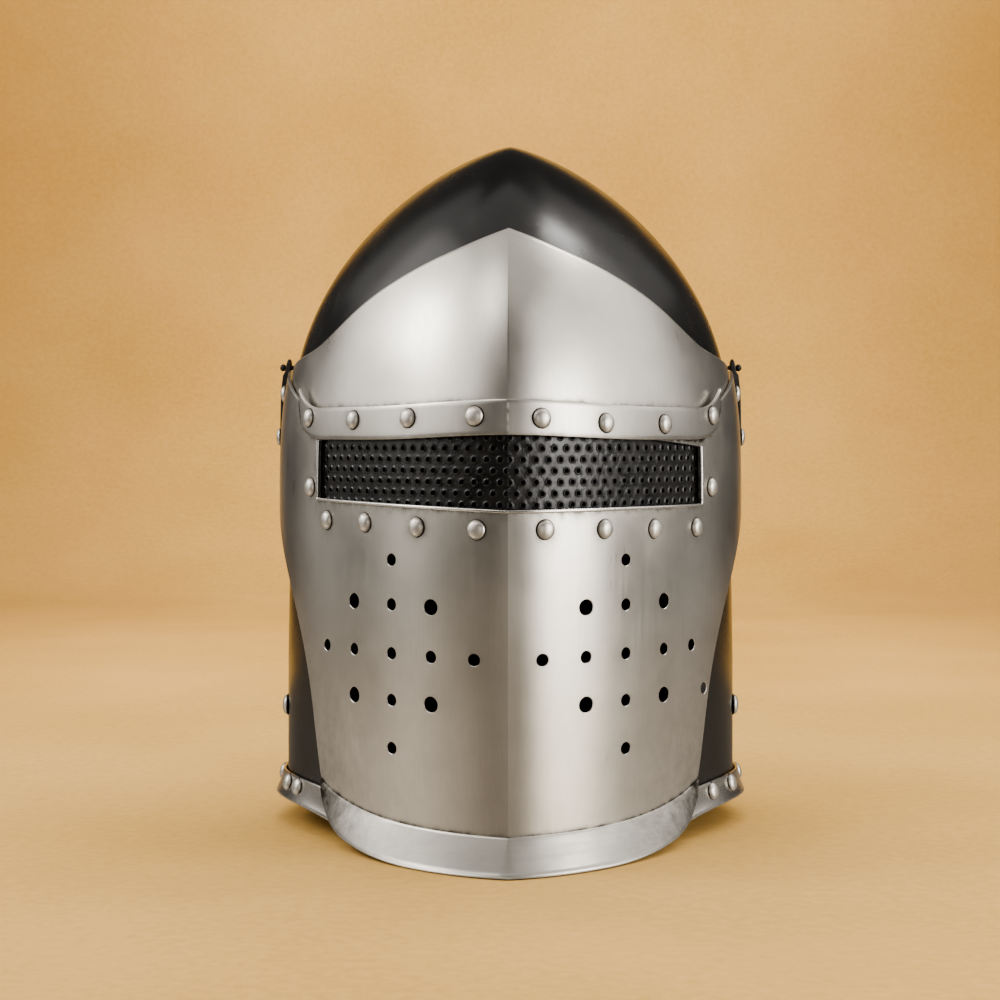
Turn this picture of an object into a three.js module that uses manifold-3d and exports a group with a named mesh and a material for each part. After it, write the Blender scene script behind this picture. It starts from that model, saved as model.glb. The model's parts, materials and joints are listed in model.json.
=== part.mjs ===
// Steel helmet: a keeled skull with an open face, a riveted rim round its base and a lifting visor.
// The front faces -Y, +X is to the right of someone facing it, +Z is up. Millimetres.
import * as THREE from 'three';
import { mergeVertices } from 'three/addons/utils/BufferGeometryUtils.js';
import Module from 'manifold-3d';

const wasm = await Module();
wasm.setup();

// Skull: straight sides up to domeBaseZ, then a keeled dome.
const skullHalfWidth = 112;
const skullBaseGrow = 1;
const skullWall = 2;
const domeBaseZ = 190;
const apexZ = 338.6;
const crownY = 9;
const browY = -131;
const chinY = -118;
const backY = 127;
const napeY = 112;
const domeWidthPower = 2.2;
const domeWidthRound = 0.71;

// Plan of every level: how far the sides run out from the front ridge and how they round the temples.
const ridgeReach = 0.43;
const ridgeRake = Math.tan(15 * Math.PI / 180);
const templeReach = 0.32;
const backReach = 0.55;
const backRake = Math.tan(6 * Math.PI / 180);

// Base of the skull: the edge arches over the shoulders and flares; the rim strip lies over the flare.
const archHeight = 13.5;
const archFront = 88;
const archBack = 88;
const flareOut = 4;
const flareHeight = 24;
const rimHeight = 16.5;
const rimPlate = 1.5;
const rimInset = 1.2;
const rimRivetHeight = 11;
const rimRivetStations = {
  right: [0.68, 0.81, 1.05, 1.23, 1.4, 1.57, 1.74, 1.9],
  left: [0.74, 0.82, 1.05, 1.23, 1.4, 1.57, 1.74, 1.9],
};

// Face opening of the skull.
const openingBase = 50;
const openingEyes = 70;
const openingEyesZ = 165;
const openingTopZ = 226;

// Visor: half width and ridge bulge most at the sight and draw in towards the brow and the chin.
const visorPlate = 1.6;
const visorHalfWidth = 117.4;
const visorRidgeY = -142;
const sightLevelZ = 160;
const visorEarZ = 226;
const earTuck = 4.8;
const browTuck = 5.2;
const lipCreaseZ = 14.4;
const chinWidthTuck = 2.2;
const chinRidgeTuck = 8.5;
const faceTopZ = 204;
const pivotY = 14;
const pivotZ = 214;
const earRadius = 12;
const lipEndY = -57;
const lipEndZ = 27.4;
const lipEndDrop = 10;
const lipBottomZ = 0.4;
const lipSlope = Math.tan(50 * Math.PI / 180);
const lipSettle = 0.9;
const rearSpring = 6;
const rearSpringZ = 30;
const rearSweepTopZ = 196;
const rearSweepPower = 1.695;

// Brow plate: follows the skull, standing off it most at its lower edge.
const browPlate = 1.4;
const browBottomZ = 202.5;
const browRearT = 0.94;
const browStandOff = [
  { z: 202, side: 2.15, ridge: 6.8 },
  { z: 216, side: 1.9, ridge: 5.5 },
  { z: 230, side: 2.2, ridge: 4.6 },
  { z: 260, side: 3, ridge: 3.8 },
  { z: 290, side: 3.6, ridge: 3.6 },
];
const browEdge = [
  { t: 0, z: 287.5 }, { t: 0.1, z: 283.3 }, { t: 0.2, z: 278.3 }, { t: 0.3, z: 272.8 }, { t: 0.4, z: 265.8 },
  { t: 0.48, z: 258.9 }, { t: 0.55, z: 251.3 }, { t: 0.6, z: 245 }, { t: 0.65, z: 239.4 }, { t: 0.69, z: 235.8 },
  { t: 0.74, z: 233.3 }, { t: 0.83, z: 230.5 }, { t: 0.94, z: 228 },
];

// Sight: the slot, cut a little lower to the right, the strip over its top edge and the perforated plate behind.
const sightHalf = 91.4;
const sightTilt = 1.4;
const sightTopZ = 195;
const sightEndTopZ = 189;
const sightBottomZ = 159.2;
const sightEndBottomZ = 161;
const bandPlate = 1.5;
const bandHalf = 101.9;
const bandTurn = 0.825;
const bandTopZ = 208;
const bandSideTopZ = 205.4;
const bandHornZ = 215.1;
const bandBottomZ = 193.6;
const bandSideBottomZ = 191.4;
const bandCornerZ = 199.2;
const sightPlate = 1.2;
const sightPlateHalf = 98;
const sightPlateTopZ = 199;
const sightPlateBottomZ = 146.5;
const sightPitch = 13;
const sightRowPitch = 10.4;
const sightRows = 3;
const sightHoleRadius = 2.1;

// Breaths: a cross of round holes on each cheek, the four outer corners larger.
const breathColumns = [15.2, 34.8, 53.4, 72, 86.3];
const breathRows = [136.3, 116, 93.7, 72.3, 50.2];
const breathRadius = 2.6;
const breathCornerRadius = 3.4;
const breathCross = [
  { row: 0, columns: [2] },
  { row: 1, columns: [1, 2, 3] },
  { row: 2, columns: [0, 1, 2, 3, 4] },
  { row: 3, columns: [1, 2, 3] },
  { row: 4, columns: [2] },
];
const loneBreath = { x: 93, z: 71.8 };

// Rivets and latches.
const gap = 0.3;
const rivetRadius = 4.4;
const rivetHeight = 2.7;
const bandRivets = {
  right: [{ x: 13.9, z: 200.3 }, { x: 42.5, z: 198.3 }, { x: 70.5, z: 198 }, { x: 95.6, z: 202.4 }],
  left: [{ x: 13.9, z: 201.2 }, { x: 43.9, z: 200.5 }, { x: 70.6, z: 199.9 }, { x: 94.4, z: 201.2 }],
};
const sillRivets = {
  right: [{ x: 16.4, z: 151.2 }, { x: 43.2, z: 150.7 }, { x: 67, z: 149.7 }, { x: 88.6, z: 149.3 }],
  left: [{ x: 13.8, z: 151.2 }, { x: 41.1, z: 151.6 }, { x: 66.2, z: 152.6 }, { x: 86, z: 152.7 }],
};
const jambRivet = { right: { x: 96.9, z: 168 }, left: { x: 95.3, z: 168 } };
const skullRivet = { y: 5, z: 56.3 };
const flankRivetRadius = 5;
const rimRivetRadius = 4.3;
const rimRivetRise = 2.6;
const latchRivetRadius = 4.6;
const shankRadius = 3;
const latchY = 22.3;
const latchWidth = 7;
const latchRivetZ = 192;
const latchEdge = [
  { x: 118.7, z: 187 }, { x: 118.7, z: 200 }, { x: 118.4, z: 215 }, { x: 117.4, z: 223.6 }, { x: 116, z: 226.2 },
  { x: 115.6, z: 229.2 }, { x: 115, z: 231.2 }, { x: 114.2, z: 232.4 }, { x: 113.4, z: 231.4 }, { x: 113, z: 229 },
];
const studZ = 227.7;
const studFromX = 111.9;
const studBallX = 117.5;

const steel = new THREE.MeshStandardMaterial({ color: 0xb9b3a8, metalness: 1, roughness: 0.35 });
const polished = new THREE.MeshStandardMaterial({ color: 0xc9c4ba, metalness: 1, roughness: 0.2 });
const blackened = new THREE.MeshStandardMaterial({ color: 0x1b1a19, metalness: 0.8, roughness: 0.4 });
const rimSteel = new THREE.MeshStandardMaterial({ color: 0x8f8a82, metalness: 1, roughness: 0.3 });

const clamp = (value, low, high) => Math.min(high, Math.max(low, value));
const mix = (a, b, share) => a + (b - a) * share;
const smooth = share => { const s = clamp(share, 0, 1); return s * s * (3 - 2 * s); };

function bezier(t, a, b, c, d) {
  const s = 1 - t;
  return s * s * s * a + 3 * s * s * t * b + 3 * s * t * t * c + t * t * t * d;
}

function readTable(rows, key, column, at) {
  if (at <= rows[0][key]) return rows[0][column];
  for (let i = 1; i < rows.length; i++) {
    if (at <= rows[i][key]) {
      const share = (at - rows[i - 1][key]) / (rows[i][key] - rows[i - 1][key]);
      return mix(rows[i - 1][column], rows[i][column], share);
    }
  }
  return rows[rows.length - 1][column];
}

// Point of a level's half plan: t is 0 on the front ridge, 1 at the widest point, 2 on the back ridge.
function planPoint(t, halfWidth, frontY, rearY) {
  if (t <= 1) {
    const reach = ridgeReach * halfWidth;
    return {
      x: bezier(t, 0, reach, halfWidth, halfWidth),
      y: bezier(t, frontY, frontY + reach * ridgeRake, crownY - templeReach * (crownY - frontY), crownY),
    };
  }
  const depth = rearY - crownY;
  const reach = backReach * halfWidth;
  return {
    x: bezier(t - 1, halfWidth, halfWidth, reach, 0),
    y: bezier(t - 1, crownY, crownY + backReach * depth, rearY - reach * backRake, rearY),
  };
}

// The same plan moved outward by a distance square to its outline.
function planOffset(t, halfWidth, frontY, rearY, out) {
  const p = planPoint(t, halfWidth, frontY, rearY);
  if (out === 0) return p;
  const a = planPoint(Math.max(t - 1e-3, 0), halfWidth, frontY, rearY);
  const b = planPoint(Math.min(t + 1e-3, 2), halfWidth, frontY, rearY);
  let nx = b.y - a.y;
  let ny = a.x - b.x;
  const size = Math.hypot(nx, ny);
  nx /= size;
  ny /= size;
  if (t < 1e-6 || t > 2 - 1e-6) return { x: 0, y: p.y + out / ny };
  return { x: p.x + nx * out, y: p.y + ny * out };
}

function skullSection(z) {
  if (z >= domeBaseZ) {
    const rise = clamp((z - domeBaseZ) / (apexZ - domeBaseZ), 0, 1);
    const round = Math.sqrt(1 - rise * rise);
    return {
      halfWidth: skullHalfWidth * (1 - rise ** domeWidthPower) ** domeWidthRound,
      frontY: crownY + (browY - crownY) * round,
      rearY: crownY + (backY - crownY) * round,
    };
  }
  const drop = (1 - z / domeBaseZ) ** 2;
  return {
    halfWidth: skullHalfWidth + skullBaseGrow * smooth((150 - z) / 80),
    frontY: mix(browY, chinY, drop),
    rearY: mix(backY, napeY, drop),
  };
}

// Height of the base edge: level feet at the cheeks and the nape, an arch over each shoulder.
function archZ(y) {
  const run = y < crownY ? (crownY - y) / archFront : (y - crownY) / archBack;
  return archHeight * Math.max(0, 1 - run ** 4);
}

// Skull outside: u runs once round from the front ridge (0 to 4), level is the height at full arch fade.
function skullPoint(around, level, out = 0) {
  const u = (around + 4) % 4;
  const t = u <= 2 ? u : 4 - u;
  const section = skullSection(level);
  const base = planPoint(t, section.halfWidth, section.frontY, section.rearY);
  const edge = archZ(base.y);
  const fade = Math.max(0, 1 - level / 70) ** 2;
  const flare = flareOut * Math.max(0, 1 - level / flareHeight) ** 2;
  const p = planOffset(t, section.halfWidth, section.frontY, section.rearY, out + flare);
  return new THREE.Vector3(u <= 2 ? p.x : -p.x, p.y, level + edge * fade);
}

function visorSection(z) {
  if (z > sightLevelZ) {
    const rise = (z - sightLevelZ) / (visorEarZ - sightLevelZ);
    return { halfWidth: visorHalfWidth - earTuck * rise ** 3, ridgeY: visorRidgeY + browTuck * rise ** 2 };
  }
  const drop = (sightLevelZ - z) / (sightLevelZ - lipCreaseZ);
  return {
    halfWidth: visorHalfWidth - chinWidthTuck * drop ** 2,
    ridgeY: visorRidgeY + chinRidgeTuck * drop ** 2,
  };
}

// Visor outside at signed plan position t and height z; past the widest point it runs straight back.
function visorPoint(t, z, out = 0) {
  const section = visorSection(z);
  const side = t < 0 ? -1 : 1;
  const at = Math.abs(t);
  if (at > 1) return new THREE.Vector3(side * (section.halfWidth + out), crownY + (at - 1) * 100, z);
  const p = planOffset(at, section.halfWidth, section.ridgeY, backY, out);
  return new THREE.Vector3(side * p.x, p.y, z);
}

// Plan position whose point has the wanted x (or y) at a height.
function visorAt(axis, wanted, z) {
  if (axis === 'y' && wanted > crownY) return 1 + (wanted - crownY) / 100;
  let low = 0;
  let high = 1;
  for (let i = 0; i < 40; i++) {
    const middle = (low + high) / 2;
    if (visorPoint(middle, z)[axis] < wanted) low = middle; else high = middle;
  }
  return (low + high) / 2;
}

function browSection(z) {
  const section = skullSection(z);
  return {
    halfWidth: section.halfWidth + readTable(browStandOff, 'z', 'side', z),
    ridgeY: section.frontY - readTable(browStandOff, 'z', 'ridge', z),
  };
}

// Solid between two matching nets of points, one for each face of a sheet.
function closeNets(outer, inner, wrap = false, crown = null) {
  const points = [];
  const put = p => points.push(p.x, p.y, p.z) / 3 - 1;
  const outs = outer.map(row => row.map(put));
  const ins = inner.map(row => row.map(put));
  const faces = [];
  const quad = (a, b, c, d, turn) => {
    if (turn) faces.push(a, b, d, b, c, d); else faces.push(a, b, c, a, c, d);
  };
  const rows = outs.length;
  const columns = outs[0].length;
  const spans = wrap ? columns : columns - 1;
  const top = rows - 1;
  for (let j = 0; j < spans; j++) {
    const k = (j + 1) % columns;
    const turn = j >= spans / 2;
    for (let i = 0; i < top; i++) {
      quad(outs[i][j], outs[i][k], outs[i + 1][k], outs[i + 1][j], turn);
      quad(ins[i][k], ins[i][j], ins[i + 1][j], ins[i + 1][k], turn);
    }
    quad(ins[0][j], ins[0][k], outs[0][k], outs[0][j], turn);
    if (!crown) quad(outs[top][j], outs[top][k], ins[top][k], ins[top][j], turn);
  }
  if (crown) {
    const outerTip = put(crown.outer);
    const innerTip = put(crown.inner);
    for (let j = 0; j < spans; j++) {
      const k = (j + 1) % columns;
      faces.push(outs[top][j], outs[top][k], outerTip, ins[top][k], ins[top][j], innerTip);
    }
  }
  if (!wrap) {
    const end = columns - 1;
    for (let i = 0; i < top; i++) {
      quad(outs[i][0], outs[i + 1][0], ins[i + 1][0], ins[i][0], false);
      quad(outs[i + 1][end], outs[i][end], ins[i][end], ins[i + 1][end], false);
    }
  }
  return meshFrom(points, faces);
}

// Indexed geometry with its faces turned outward.
function meshFrom(points, faces) {
  let volume = 0;
  const at = i => new THREE.Vector3(points[3 * i], points[3 * i + 1], points[3 * i + 2]);
  for (let i = 0; i < faces.length; i += 3) {
    volume += at(faces[i]).dot(at(faces[i + 1]).cross(at(faces[i + 2])));
  }
  const index = [];
  for (let i = 0; i < faces.length; i += 3) {
    if (volume > 0) index.push(faces[i], faces[i + 1], faces[i + 2]);
    else index.push(faces[i], faces[i + 2], faces[i + 1]);
  }
  const geometry = new THREE.BufferGeometry();
  geometry.setAttribute('position', new THREE.Float32BufferAttribute(points, 3));
  geometry.setIndex(index);
  return geometry;
}

// Outward normal of a surface given by a function of u and v.
function normalOf(surface, u, v) {
  const step = 1e-3;
  const du = surface(u + step, v).sub(surface(u - step, v));
  const dv = surface(u, v + step).sub(surface(u, v - step));
  const normal = du.cross(dv).normalize();
  const from = surface(u, v).sub(new THREE.Vector3(0, crownY, 0)).setZ(0);
  return normal.dot(from) < 0 ? normal.negate() : normal;
}

// Sheet of even thickness inside a surface; a level foot keeps both faces of its lower edge at one height.
function sheet(surface, us, vs, thickness, { wrap = false, foot = false } = {}) {
  const outer = vs.map(v => us.map(u => surface(u, v)));
  const inner = vs.map((v, row) => us.map(u => {
    const p = surface(u, v).addScaledVector(normalOf(surface, u, v), -thickness);
    if (foot && row === 0) p.z = surface(u, v).z;
    return p;
  }));
  return closeNets(outer, inner, wrap);
}

const steps = (from, to, count) => Array.from({ length: count + 1 }, (_, i) => mix(from, to, i / count));

function solidOf(geometry) {
  const bare = geometry.clone();
  bare.deleteAttribute('normal');
  bare.deleteAttribute('uv');
  const merged = mergeVertices(bare, 1e-4);
  return new wasm.Manifold(new wasm.Mesh({
    numProp: 3,
    vertProperties: new Float32Array(merged.attributes.position.array),
    triVerts: new Uint32Array(merged.index.array),
  }));
}

function geometryOf(solid) {
  const mesh = solid.getMesh();
  const geometry = new THREE.BufferGeometry();
  geometry.setAttribute('position', new THREE.BufferAttribute(new Float32Array(mesh.vertProperties), 3));
  geometry.setIndex(Array.from(mesh.triVerts));
  return geometry;
}

// Turned solid about an axis: the profile gives radius and height, closed on the axis at both ends.
function turned(profile, sides, base, axis) {
  const up = axis.clone().normalize();
  const across = Math.abs(up.z) < 0.9 ? new THREE.Vector3(0, 0, 1) : new THREE.Vector3(0, 1, 0);
  const a = new THREE.Vector3().crossVectors(across, up).normalize();
  const b = new THREE.Vector3().crossVectors(up, a);
  const points = [];
  const put = p => points.push(p.x, p.y, p.z) / 3 - 1;
  const place = (radius, height, angle) => base.clone().addScaledVector(up, height)
    .addScaledVector(a, radius * Math.cos(angle)).addScaledVector(b, radius * Math.sin(angle));
  const rings = profile.slice(1, -1).map(({ radius, height }) =>
    Array.from({ length: sides }, (_, i) => put(place(radius, height, 2 * Math.PI * i / sides))));
  const start = put(place(0, profile[0].height, 0));
  const end = put(place(0, profile[profile.length - 1].height, 0));
  const faces = [];
  for (let i = 0; i < sides; i++) {
    const k = (i + 1) % sides;
    faces.push(start, rings[0][k], rings[0][i]);
    for (let r = 0; r < rings.length - 1; r++) {
      faces.push(rings[r][i], rings[r][k], rings[r + 1][k], rings[r][i], rings[r + 1][k], rings[r + 1][i]);
    }
    faces.push(rings[rings.length - 1][i], rings[rings.length - 1][k], end);
  }
  return meshFrom(points, faces);
}

function drill(base, axis, radius, back, front, sides = 10) {
  return solidOf(turned([
    { radius: 0, height: -back }, { radius, height: -back },
    { radius, height: front }, { radius: 0, height: front },
  ], sides, base, axis));
}

function domeRivet(base, normal, radius, height) {
  return turned([
    { radius: 0, height: gap }, { radius, height: gap },
    { radius: radius * 0.78, height: gap + height * 0.66 }, { radius: 0, height: gap + height },
  ], 9, base, normal);
}

const helmet = new THREE.Group();
helmet.name = 'helmet';
function add(name, geometry, material) {
  geometry.computeVertexNormals();
  const mesh = new THREE.Mesh(geometry, material);
  mesh.name = name;
  helmet.add(mesh);
}

// Skull: rings from the flared edge to the keeled apex, less the face opening and the pivot holes.
function faceOpening(grow) {
  const outline = new THREE.Shape();
  const low = openingBase + grow;
  const wide = openingEyes + grow;
  const top = openingTopZ + grow;
  outline.moveTo(-low, -20);
  outline.lineTo(low, -20);
  outline.lineTo(low, 25);
  outline.bezierCurveTo(low, 75, wide, 110, wide, openingEyesZ);
  outline.bezierCurveTo(wide, openingEyesZ + 38, 42, top - 2, 0, top);
  outline.bezierCurveTo(-42, top - 2, -wide, openingEyesZ + 38, -wide, openingEyesZ);
  outline.bezierCurveTo(-wide, 110, -low, 75, -low, 25);
  const depth = 200;
  const cut = new THREE.ExtrudeGeometry(outline, { depth, bevelEnabled: false, curveSegments: 6 });
  cut.rotateX(Math.PI / 2);
  cut.translate(0, -30, 0);
  return solidOf(cut);
}

const ringStations = [...steps(0, 0.9, 9), ...steps(1, 1.86, 6)];
const roundStations = [...ringStations, 2, ...ringStations.slice(1).reverse().map(t => 4 - t)];
const skullLevels = [rimInset, rimRivetHeight, 15, 24, 70, 130, domeBaseZ,
  ...[6, 12, 20, 30, 41, 52, 63, 73, 82].map(a => mix(domeBaseZ, apexZ, Math.sin(a * Math.PI / 180)))];
const skullInside = (u, level) => skullPoint(u, level)
  .addScaledVector(normalOf(skullPoint, u, level), -skullWall);
const skullShell = solidOf(closeNets(
  skullLevels.map(level => roundStations.map(u => skullPoint(u, level))),
  skullLevels.map((level, row) => roundStations.map(u => {
    const p = skullInside(u, level);
    if (row === 0) p.z = skullPoint(u, level).z;
    return p;
  })),
  true,
  { outer: new THREE.Vector3(0, crownY, apexZ), inner: new THREE.Vector3(0, crownY, apexZ - skullWall) },
));
let skull = skullShell.subtract(faceOpening(0));
const sides = [{ tag: 'right', sign: 1 }, { tag: 'left', sign: -1 }];
for (const { sign } of sides) {
  skull = skull.subtract(drill(new THREE.Vector3(sign * 105, pivotY, pivotZ),
    new THREE.Vector3(sign, 0, 0), shankRadius + gap, 15, 15, 12));
}
add('skull', geometryOf(skull), blackened);

// Rim: a strip over the flare, from cheek to cheek round the back.
const rimOut = rimPlate + 2 * gap;
const rimSurface = (u, level) => skullPoint(u, level, rimOut);
const rimLevels = [0, 4, 8, 12.5, rimHeight];
const rim = solidOf(sheet(rimSurface, roundStations, rimLevels, rimPlate, { wrap: true, foot: true }))
  .subtract(faceOpening(0.6));
add('skull_rim', geometryOf(rim), rimSteel);
for (const { tag, sign } of sides) {
  rimRivetStations[tag].forEach((t, i) => {
    const u = sign > 0 ? t : 4 - t;
    add(`rim_rivet_${tag}_${i + 1}`, domeRivet(rimSurface(u, rimRivetHeight),
      normalOf(rimSurface, u, rimRivetHeight), rimRivetRadius, rimRivetRise), polished);
  });
}

// One rivet on each flank of the skull.
for (const { tag, sign } of sides) {
  const t = 1 - 0.02;
  const u = sign > 0 ? t : 4 - t;
  const p = skullPoint(u, skullRivet.z);
  p.y = skullRivet.y;
  const facing = normalOf(skullPoint, u, skullRivet.z);
  add(`skull_rivet_${tag}`, domeRivet(p, facing, flankRivetRadius, rivetHeight), polished);
}

// Lower visor plate. Its rear edge climbs from the lip to the ear and rounds the pivot.
function faceRear(v) {
  if (v <= 0.88) {
    const z = mix(lipEndZ, pivotZ, v / 0.88);
    const spring = rearSpring * (1 - Math.exp((lipEndZ - z) / rearSpringZ));
    const sweep = pivotY + earRadius - lipEndY - rearSpring;
    const climb = ((z - lipEndZ) / (rearSweepTopZ - lipEndZ)) ** rearSweepPower;
    return { y: lipEndY + spring + sweep * smooth(climb), z };
  }
  const angle = (v - 0.88) / 0.12 * Math.PI / 2;
  return { y: pivotY + earRadius * Math.cos(angle), z: pivotZ + earRadius * Math.sin(angle) };
}

// Below the crease the plate turns out into the lip, most at the ridge and not at all at its ends.
function facePoint(w, v) {
  const at = Math.abs(w);
  const rear = faceRear(Math.max(v, 0));
  const lift = mix(at ** 3.4, smooth((at - 0.55) / 0.45), Math.max(v, 0));
  const z = mix(mix(lipCreaseZ, faceTopZ, Math.max(v, 0)), rear.z, lift);
  const t = w * visorAt('y', rear.y, rear.z);
  if (v >= 0) return visorPoint(t, z);
  const lowZ = mix(lipBottomZ, lipEndZ - lipEndDrop, Math.max(0, (at - 0.3) / 0.7) ** 2.2);
  const drop = -v * (z - lowZ);
  return visorPoint(t, z, lipSlope * (1 - lipSettle * at * at) * drop).setZ(z - drop);
}

const faceColumns = steps(-1, 1, 20);
const faceRows = [-1, -0.5, 0, 0.13, 0.27, 0.38, 0.48, 0.6, 0.72, 0.88, 0.94, 1];
let face = solidOf(sheet(facePoint, faceColumns, faceRows, visorPlate, { foot: true }));

// The sight is cut square to the plate.
const sightEnd = visorAt('x', sightHalf, sightLevelZ + 15);
const sightRise = (t, z) => visorPoint(t, z, 5);
const sightSurface = (t, v) => {
  const end = Math.abs(t) / sightEnd;
  const low = mix(sightBottomZ, sightEndBottomZ, end ** 0.8);
  const high = mix(sightTopZ, sightEndTopZ, end ** 2);
  return sightRise(t, mix(low, high, v) - sightTilt * t / sightEnd);
};
face = face.subtract(solidOf(sheet(sightSurface, steps(-sightEnd, sightEnd, 20), [0, 0.5, 1], 12)));

const breaths = [];
for (const { sign } of sides) {
  for (const { row, columns } of breathCross) {
    for (const column of columns) {
      const corner = Math.abs(row - 2) === 1 && Math.abs(column - 2) === 1;
      breaths.push({ sign, x: breathColumns[column], z: breathRows[row],
        radius: corner ? breathCornerRadius : breathRadius });
    }
  }
}
breaths.push({ sign: 1, ...loneBreath, radius: breathRadius });
for (const { sign, x, z, radius } of breaths) {
  const t = sign * visorAt('x', x, z);
  face = face.subtract(drill(visorPoint(t, z), normalOf(visorPoint, t, z), radius, 6, 6, 8));
}
for (const { sign } of sides) {
  face = face.subtract(drill(new THREE.Vector3(sign * 112, pivotY, pivotZ),
    new THREE.Vector3(sign, 0, 0), shankRadius + gap, 10, 10, 12));
}
add('visor_face', geometryOf(face), steel);

// Upper visor plate, tucked behind the lower one.
const browPoint = (w, v) => {
  const at = Math.abs(w) * browRearT;
  const z = mix(browBottomZ, readTable(browEdge, 't', 'z', at), v);
  const section = browSection(z);
  const p = planPoint(at, section.halfWidth, section.ridgeY, backY);
  return new THREE.Vector3(w < 0 ? -p.x : p.x, p.y, z);
};
const browShares = [...steps(0, 0.54, 6), ...steps(0.6, browRearT, 7)].map(t => t / browRearT);
const browColumns = [...browShares.slice(1).reverse().map(w => -w), ...browShares];
add('visor_brow', sheet(browPoint, browColumns, [0, 0.16, 0.34, 0.56, 0.78, 1], browPlate), steel);

// Strip over the joint: horned ends, rounded lower corners.
const bandEnd = visorAt('x', bandHalf, bandTopZ);
const bandPoint = (t, v) => {
  const share = Math.abs(t) / bandEnd;
  const turn = clamp((share - bandTurn) / (1 - bandTurn), 0, 1);
  const curl = 1 - Math.sqrt(1 - turn * turn);
  const top = mix(mix(bandTopZ, bandSideTopZ, smooth(share / 0.6)), bandHornZ, curl);
  const bottom = mix(mix(bandBottomZ, bandSideBottomZ, smooth(share / 0.6)), bandCornerZ, curl);
  return visorPoint(t, mix(bottom, top, v), bandPlate + 0.5);
};
const bandShares = [0, 0.1, 0.21, 0.32, 0.43, 0.54, 0.65, 0.75, bandTurn, 0.87, 0.92, 0.96, 0.985, 1];
const bandColumns = [...bandShares.slice(1).reverse().map(s => -s), ...bandShares].map(s => s * bandEnd);
add('sight_band', sheet(bandPoint, bandColumns, [0, 0.5, 1], bandPlate), steel);

// Perforated plate behind the sight.
const plateEnd = visorAt('x', sightPlateHalf, sightLevelZ + 12);
const platePoint = (t, v) => visorPoint(t, mix(sightPlateBottomZ, sightPlateTopZ, v), -visorPlate - 1);
let plate = solidOf(sheet(platePoint, steps(-plateEnd, plateEnd, 16), [0, 1], sightPlate));
const plateWalk = [];
let walked = 0;
for (let i = 0; i <= 400; i++) {
  const t = sightEnd * i / 400;
  if (i > 0) walked += visorPoint(t, 177, -2).distanceTo(visorPoint(sightEnd * (i - 1) / 400, 177, -2));
  plateWalk.push({ along: walked, t });
}
for (let row = 0; row < sightRows; row++) {
  const z = 177 + (row - (sightRows - 1) / 2) * sightRowPitch;
  for (let n = 0; (n + row % 2 / 2) * sightPitch < walked - 2.5 * sightHoleRadius; n++) {
    const along = (n + row % 2 / 2) * sightPitch;
    const t = readTable(plateWalk, 'along', 't', along);
    for (const side of along === 0 ? [1] : [1, -1]) {
      const p = visorPoint(side * t, z, -visorPlate - 0.8);
      plate = plate.subtract(drill(p, normalOf(visorPoint, side * t, z), sightHoleRadius, 5, 5, 6));
    }
  }
}
add('sight_plate', geometryOf(plate), blackened);

// Rivets round the sight.
for (const { tag, sign } of sides) {
  const seat = ({ x, z }, out) => {
    const t = sign * visorAt('x', x, z);
    return domeRivet(visorPoint(t, z, out), normalOf(visorPoint, t, z), rivetRadius, rivetHeight);
  };
  bandRivets[tag].forEach((at, i) => add(`band_rivet_${tag}_${i + 1}`, seat(at, bandPlate + 0.6), polished));
  sillRivets[tag].forEach((at, i) => add(`sill_rivet_${tag}_${i + 1}`, seat(at, 0.1), polished));
  add(`jamb_rivet_${tag}`, seat(jambRivet[tag], 0.1), polished);
}

// Pivot rivets: head outside the ear, shank through the ear and the skull, clenched inside.
// Latch behind each pivot: a spring bar riveted to the ear, with a ball-headed stud and a thumb tip.
const earX = visorPoint(1, pivotZ).x;
const skullX = skullSection(pivotZ).halfWidth;
const latchInnerX = z => visorPoint(visorAt('y', latchY, z), z).x + 0.4;
for (const { tag, sign } of sides) {
  const out = new THREE.Vector3(sign, 0, 0);
  const inside = skullX - skullWall - 2;
  add(`pivot_rivet_${tag}`, turned([
    { radius: 0, height: inside - 1.6 }, { radius: 4.6, height: inside - 1.6 }, { radius: 4.6, height: inside },
    { radius: shankRadius, height: inside }, { radius: shankRadius, height: earX + 0.9 },
    { radius: rivetRadius, height: earX + 0.9 }, { radius: rivetRadius * 0.78, height: earX + 0.9 + 1.7 },
    { radius: 0, height: earX + 0.9 + 2.5 },
  ], 12, new THREE.Vector3(0, pivotY, pivotZ), out), polished);

  const outline = new THREE.Shape();
  outline.moveTo(latchEdge[0].x, latchEdge[0].z);
  latchEdge.slice(1).forEach(p => outline.lineTo(p.x, p.z));
  [223, 218, 210, 200, latchEdge[0].z].forEach(z => outline.lineTo(latchInnerX(z), z));
  const bar = new THREE.ExtrudeGeometry(outline, { depth: latchWidth, bevelEnabled: false });
  bar.rotateX(Math.PI / 2);
  bar.translate(0, latchY + latchWidth / 2, 0);
  if (sign < 0) bar.rotateZ(Math.PI).translate(0, 2 * latchY, 0);
  const studBase = new THREE.Vector3(0, latchY, studZ);
  const studHole = drill(studBase, out, 1.1 + gap, -100, 130, 10);
  add(`latch_spring_${tag}`, geometryOf(solidOf(bar).subtract(studHole)), blackened);

  add(`latch_stud_${tag}`, turned([
    { radius: 0, height: studFromX }, { radius: 1.1, height: studFromX }, { radius: 1.1, height: studBallX - 1.4 },
    { radius: 1.7, height: studBallX - 0.6 }, { radius: 1.7, height: studBallX + 0.6 },
    { radius: 0.9, height: studBallX + 1.4 }, { radius: 0, height: studBallX + 1.6 },
  ], 10, studBase, out), blackened);

  const foot = new THREE.Vector3(sign * latchEdge[0].x, latchY, latchRivetZ);
  add(`latch_rivet_${tag}`, domeRivet(foot, out, latchRivetRadius, 2), polished);
}

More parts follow.
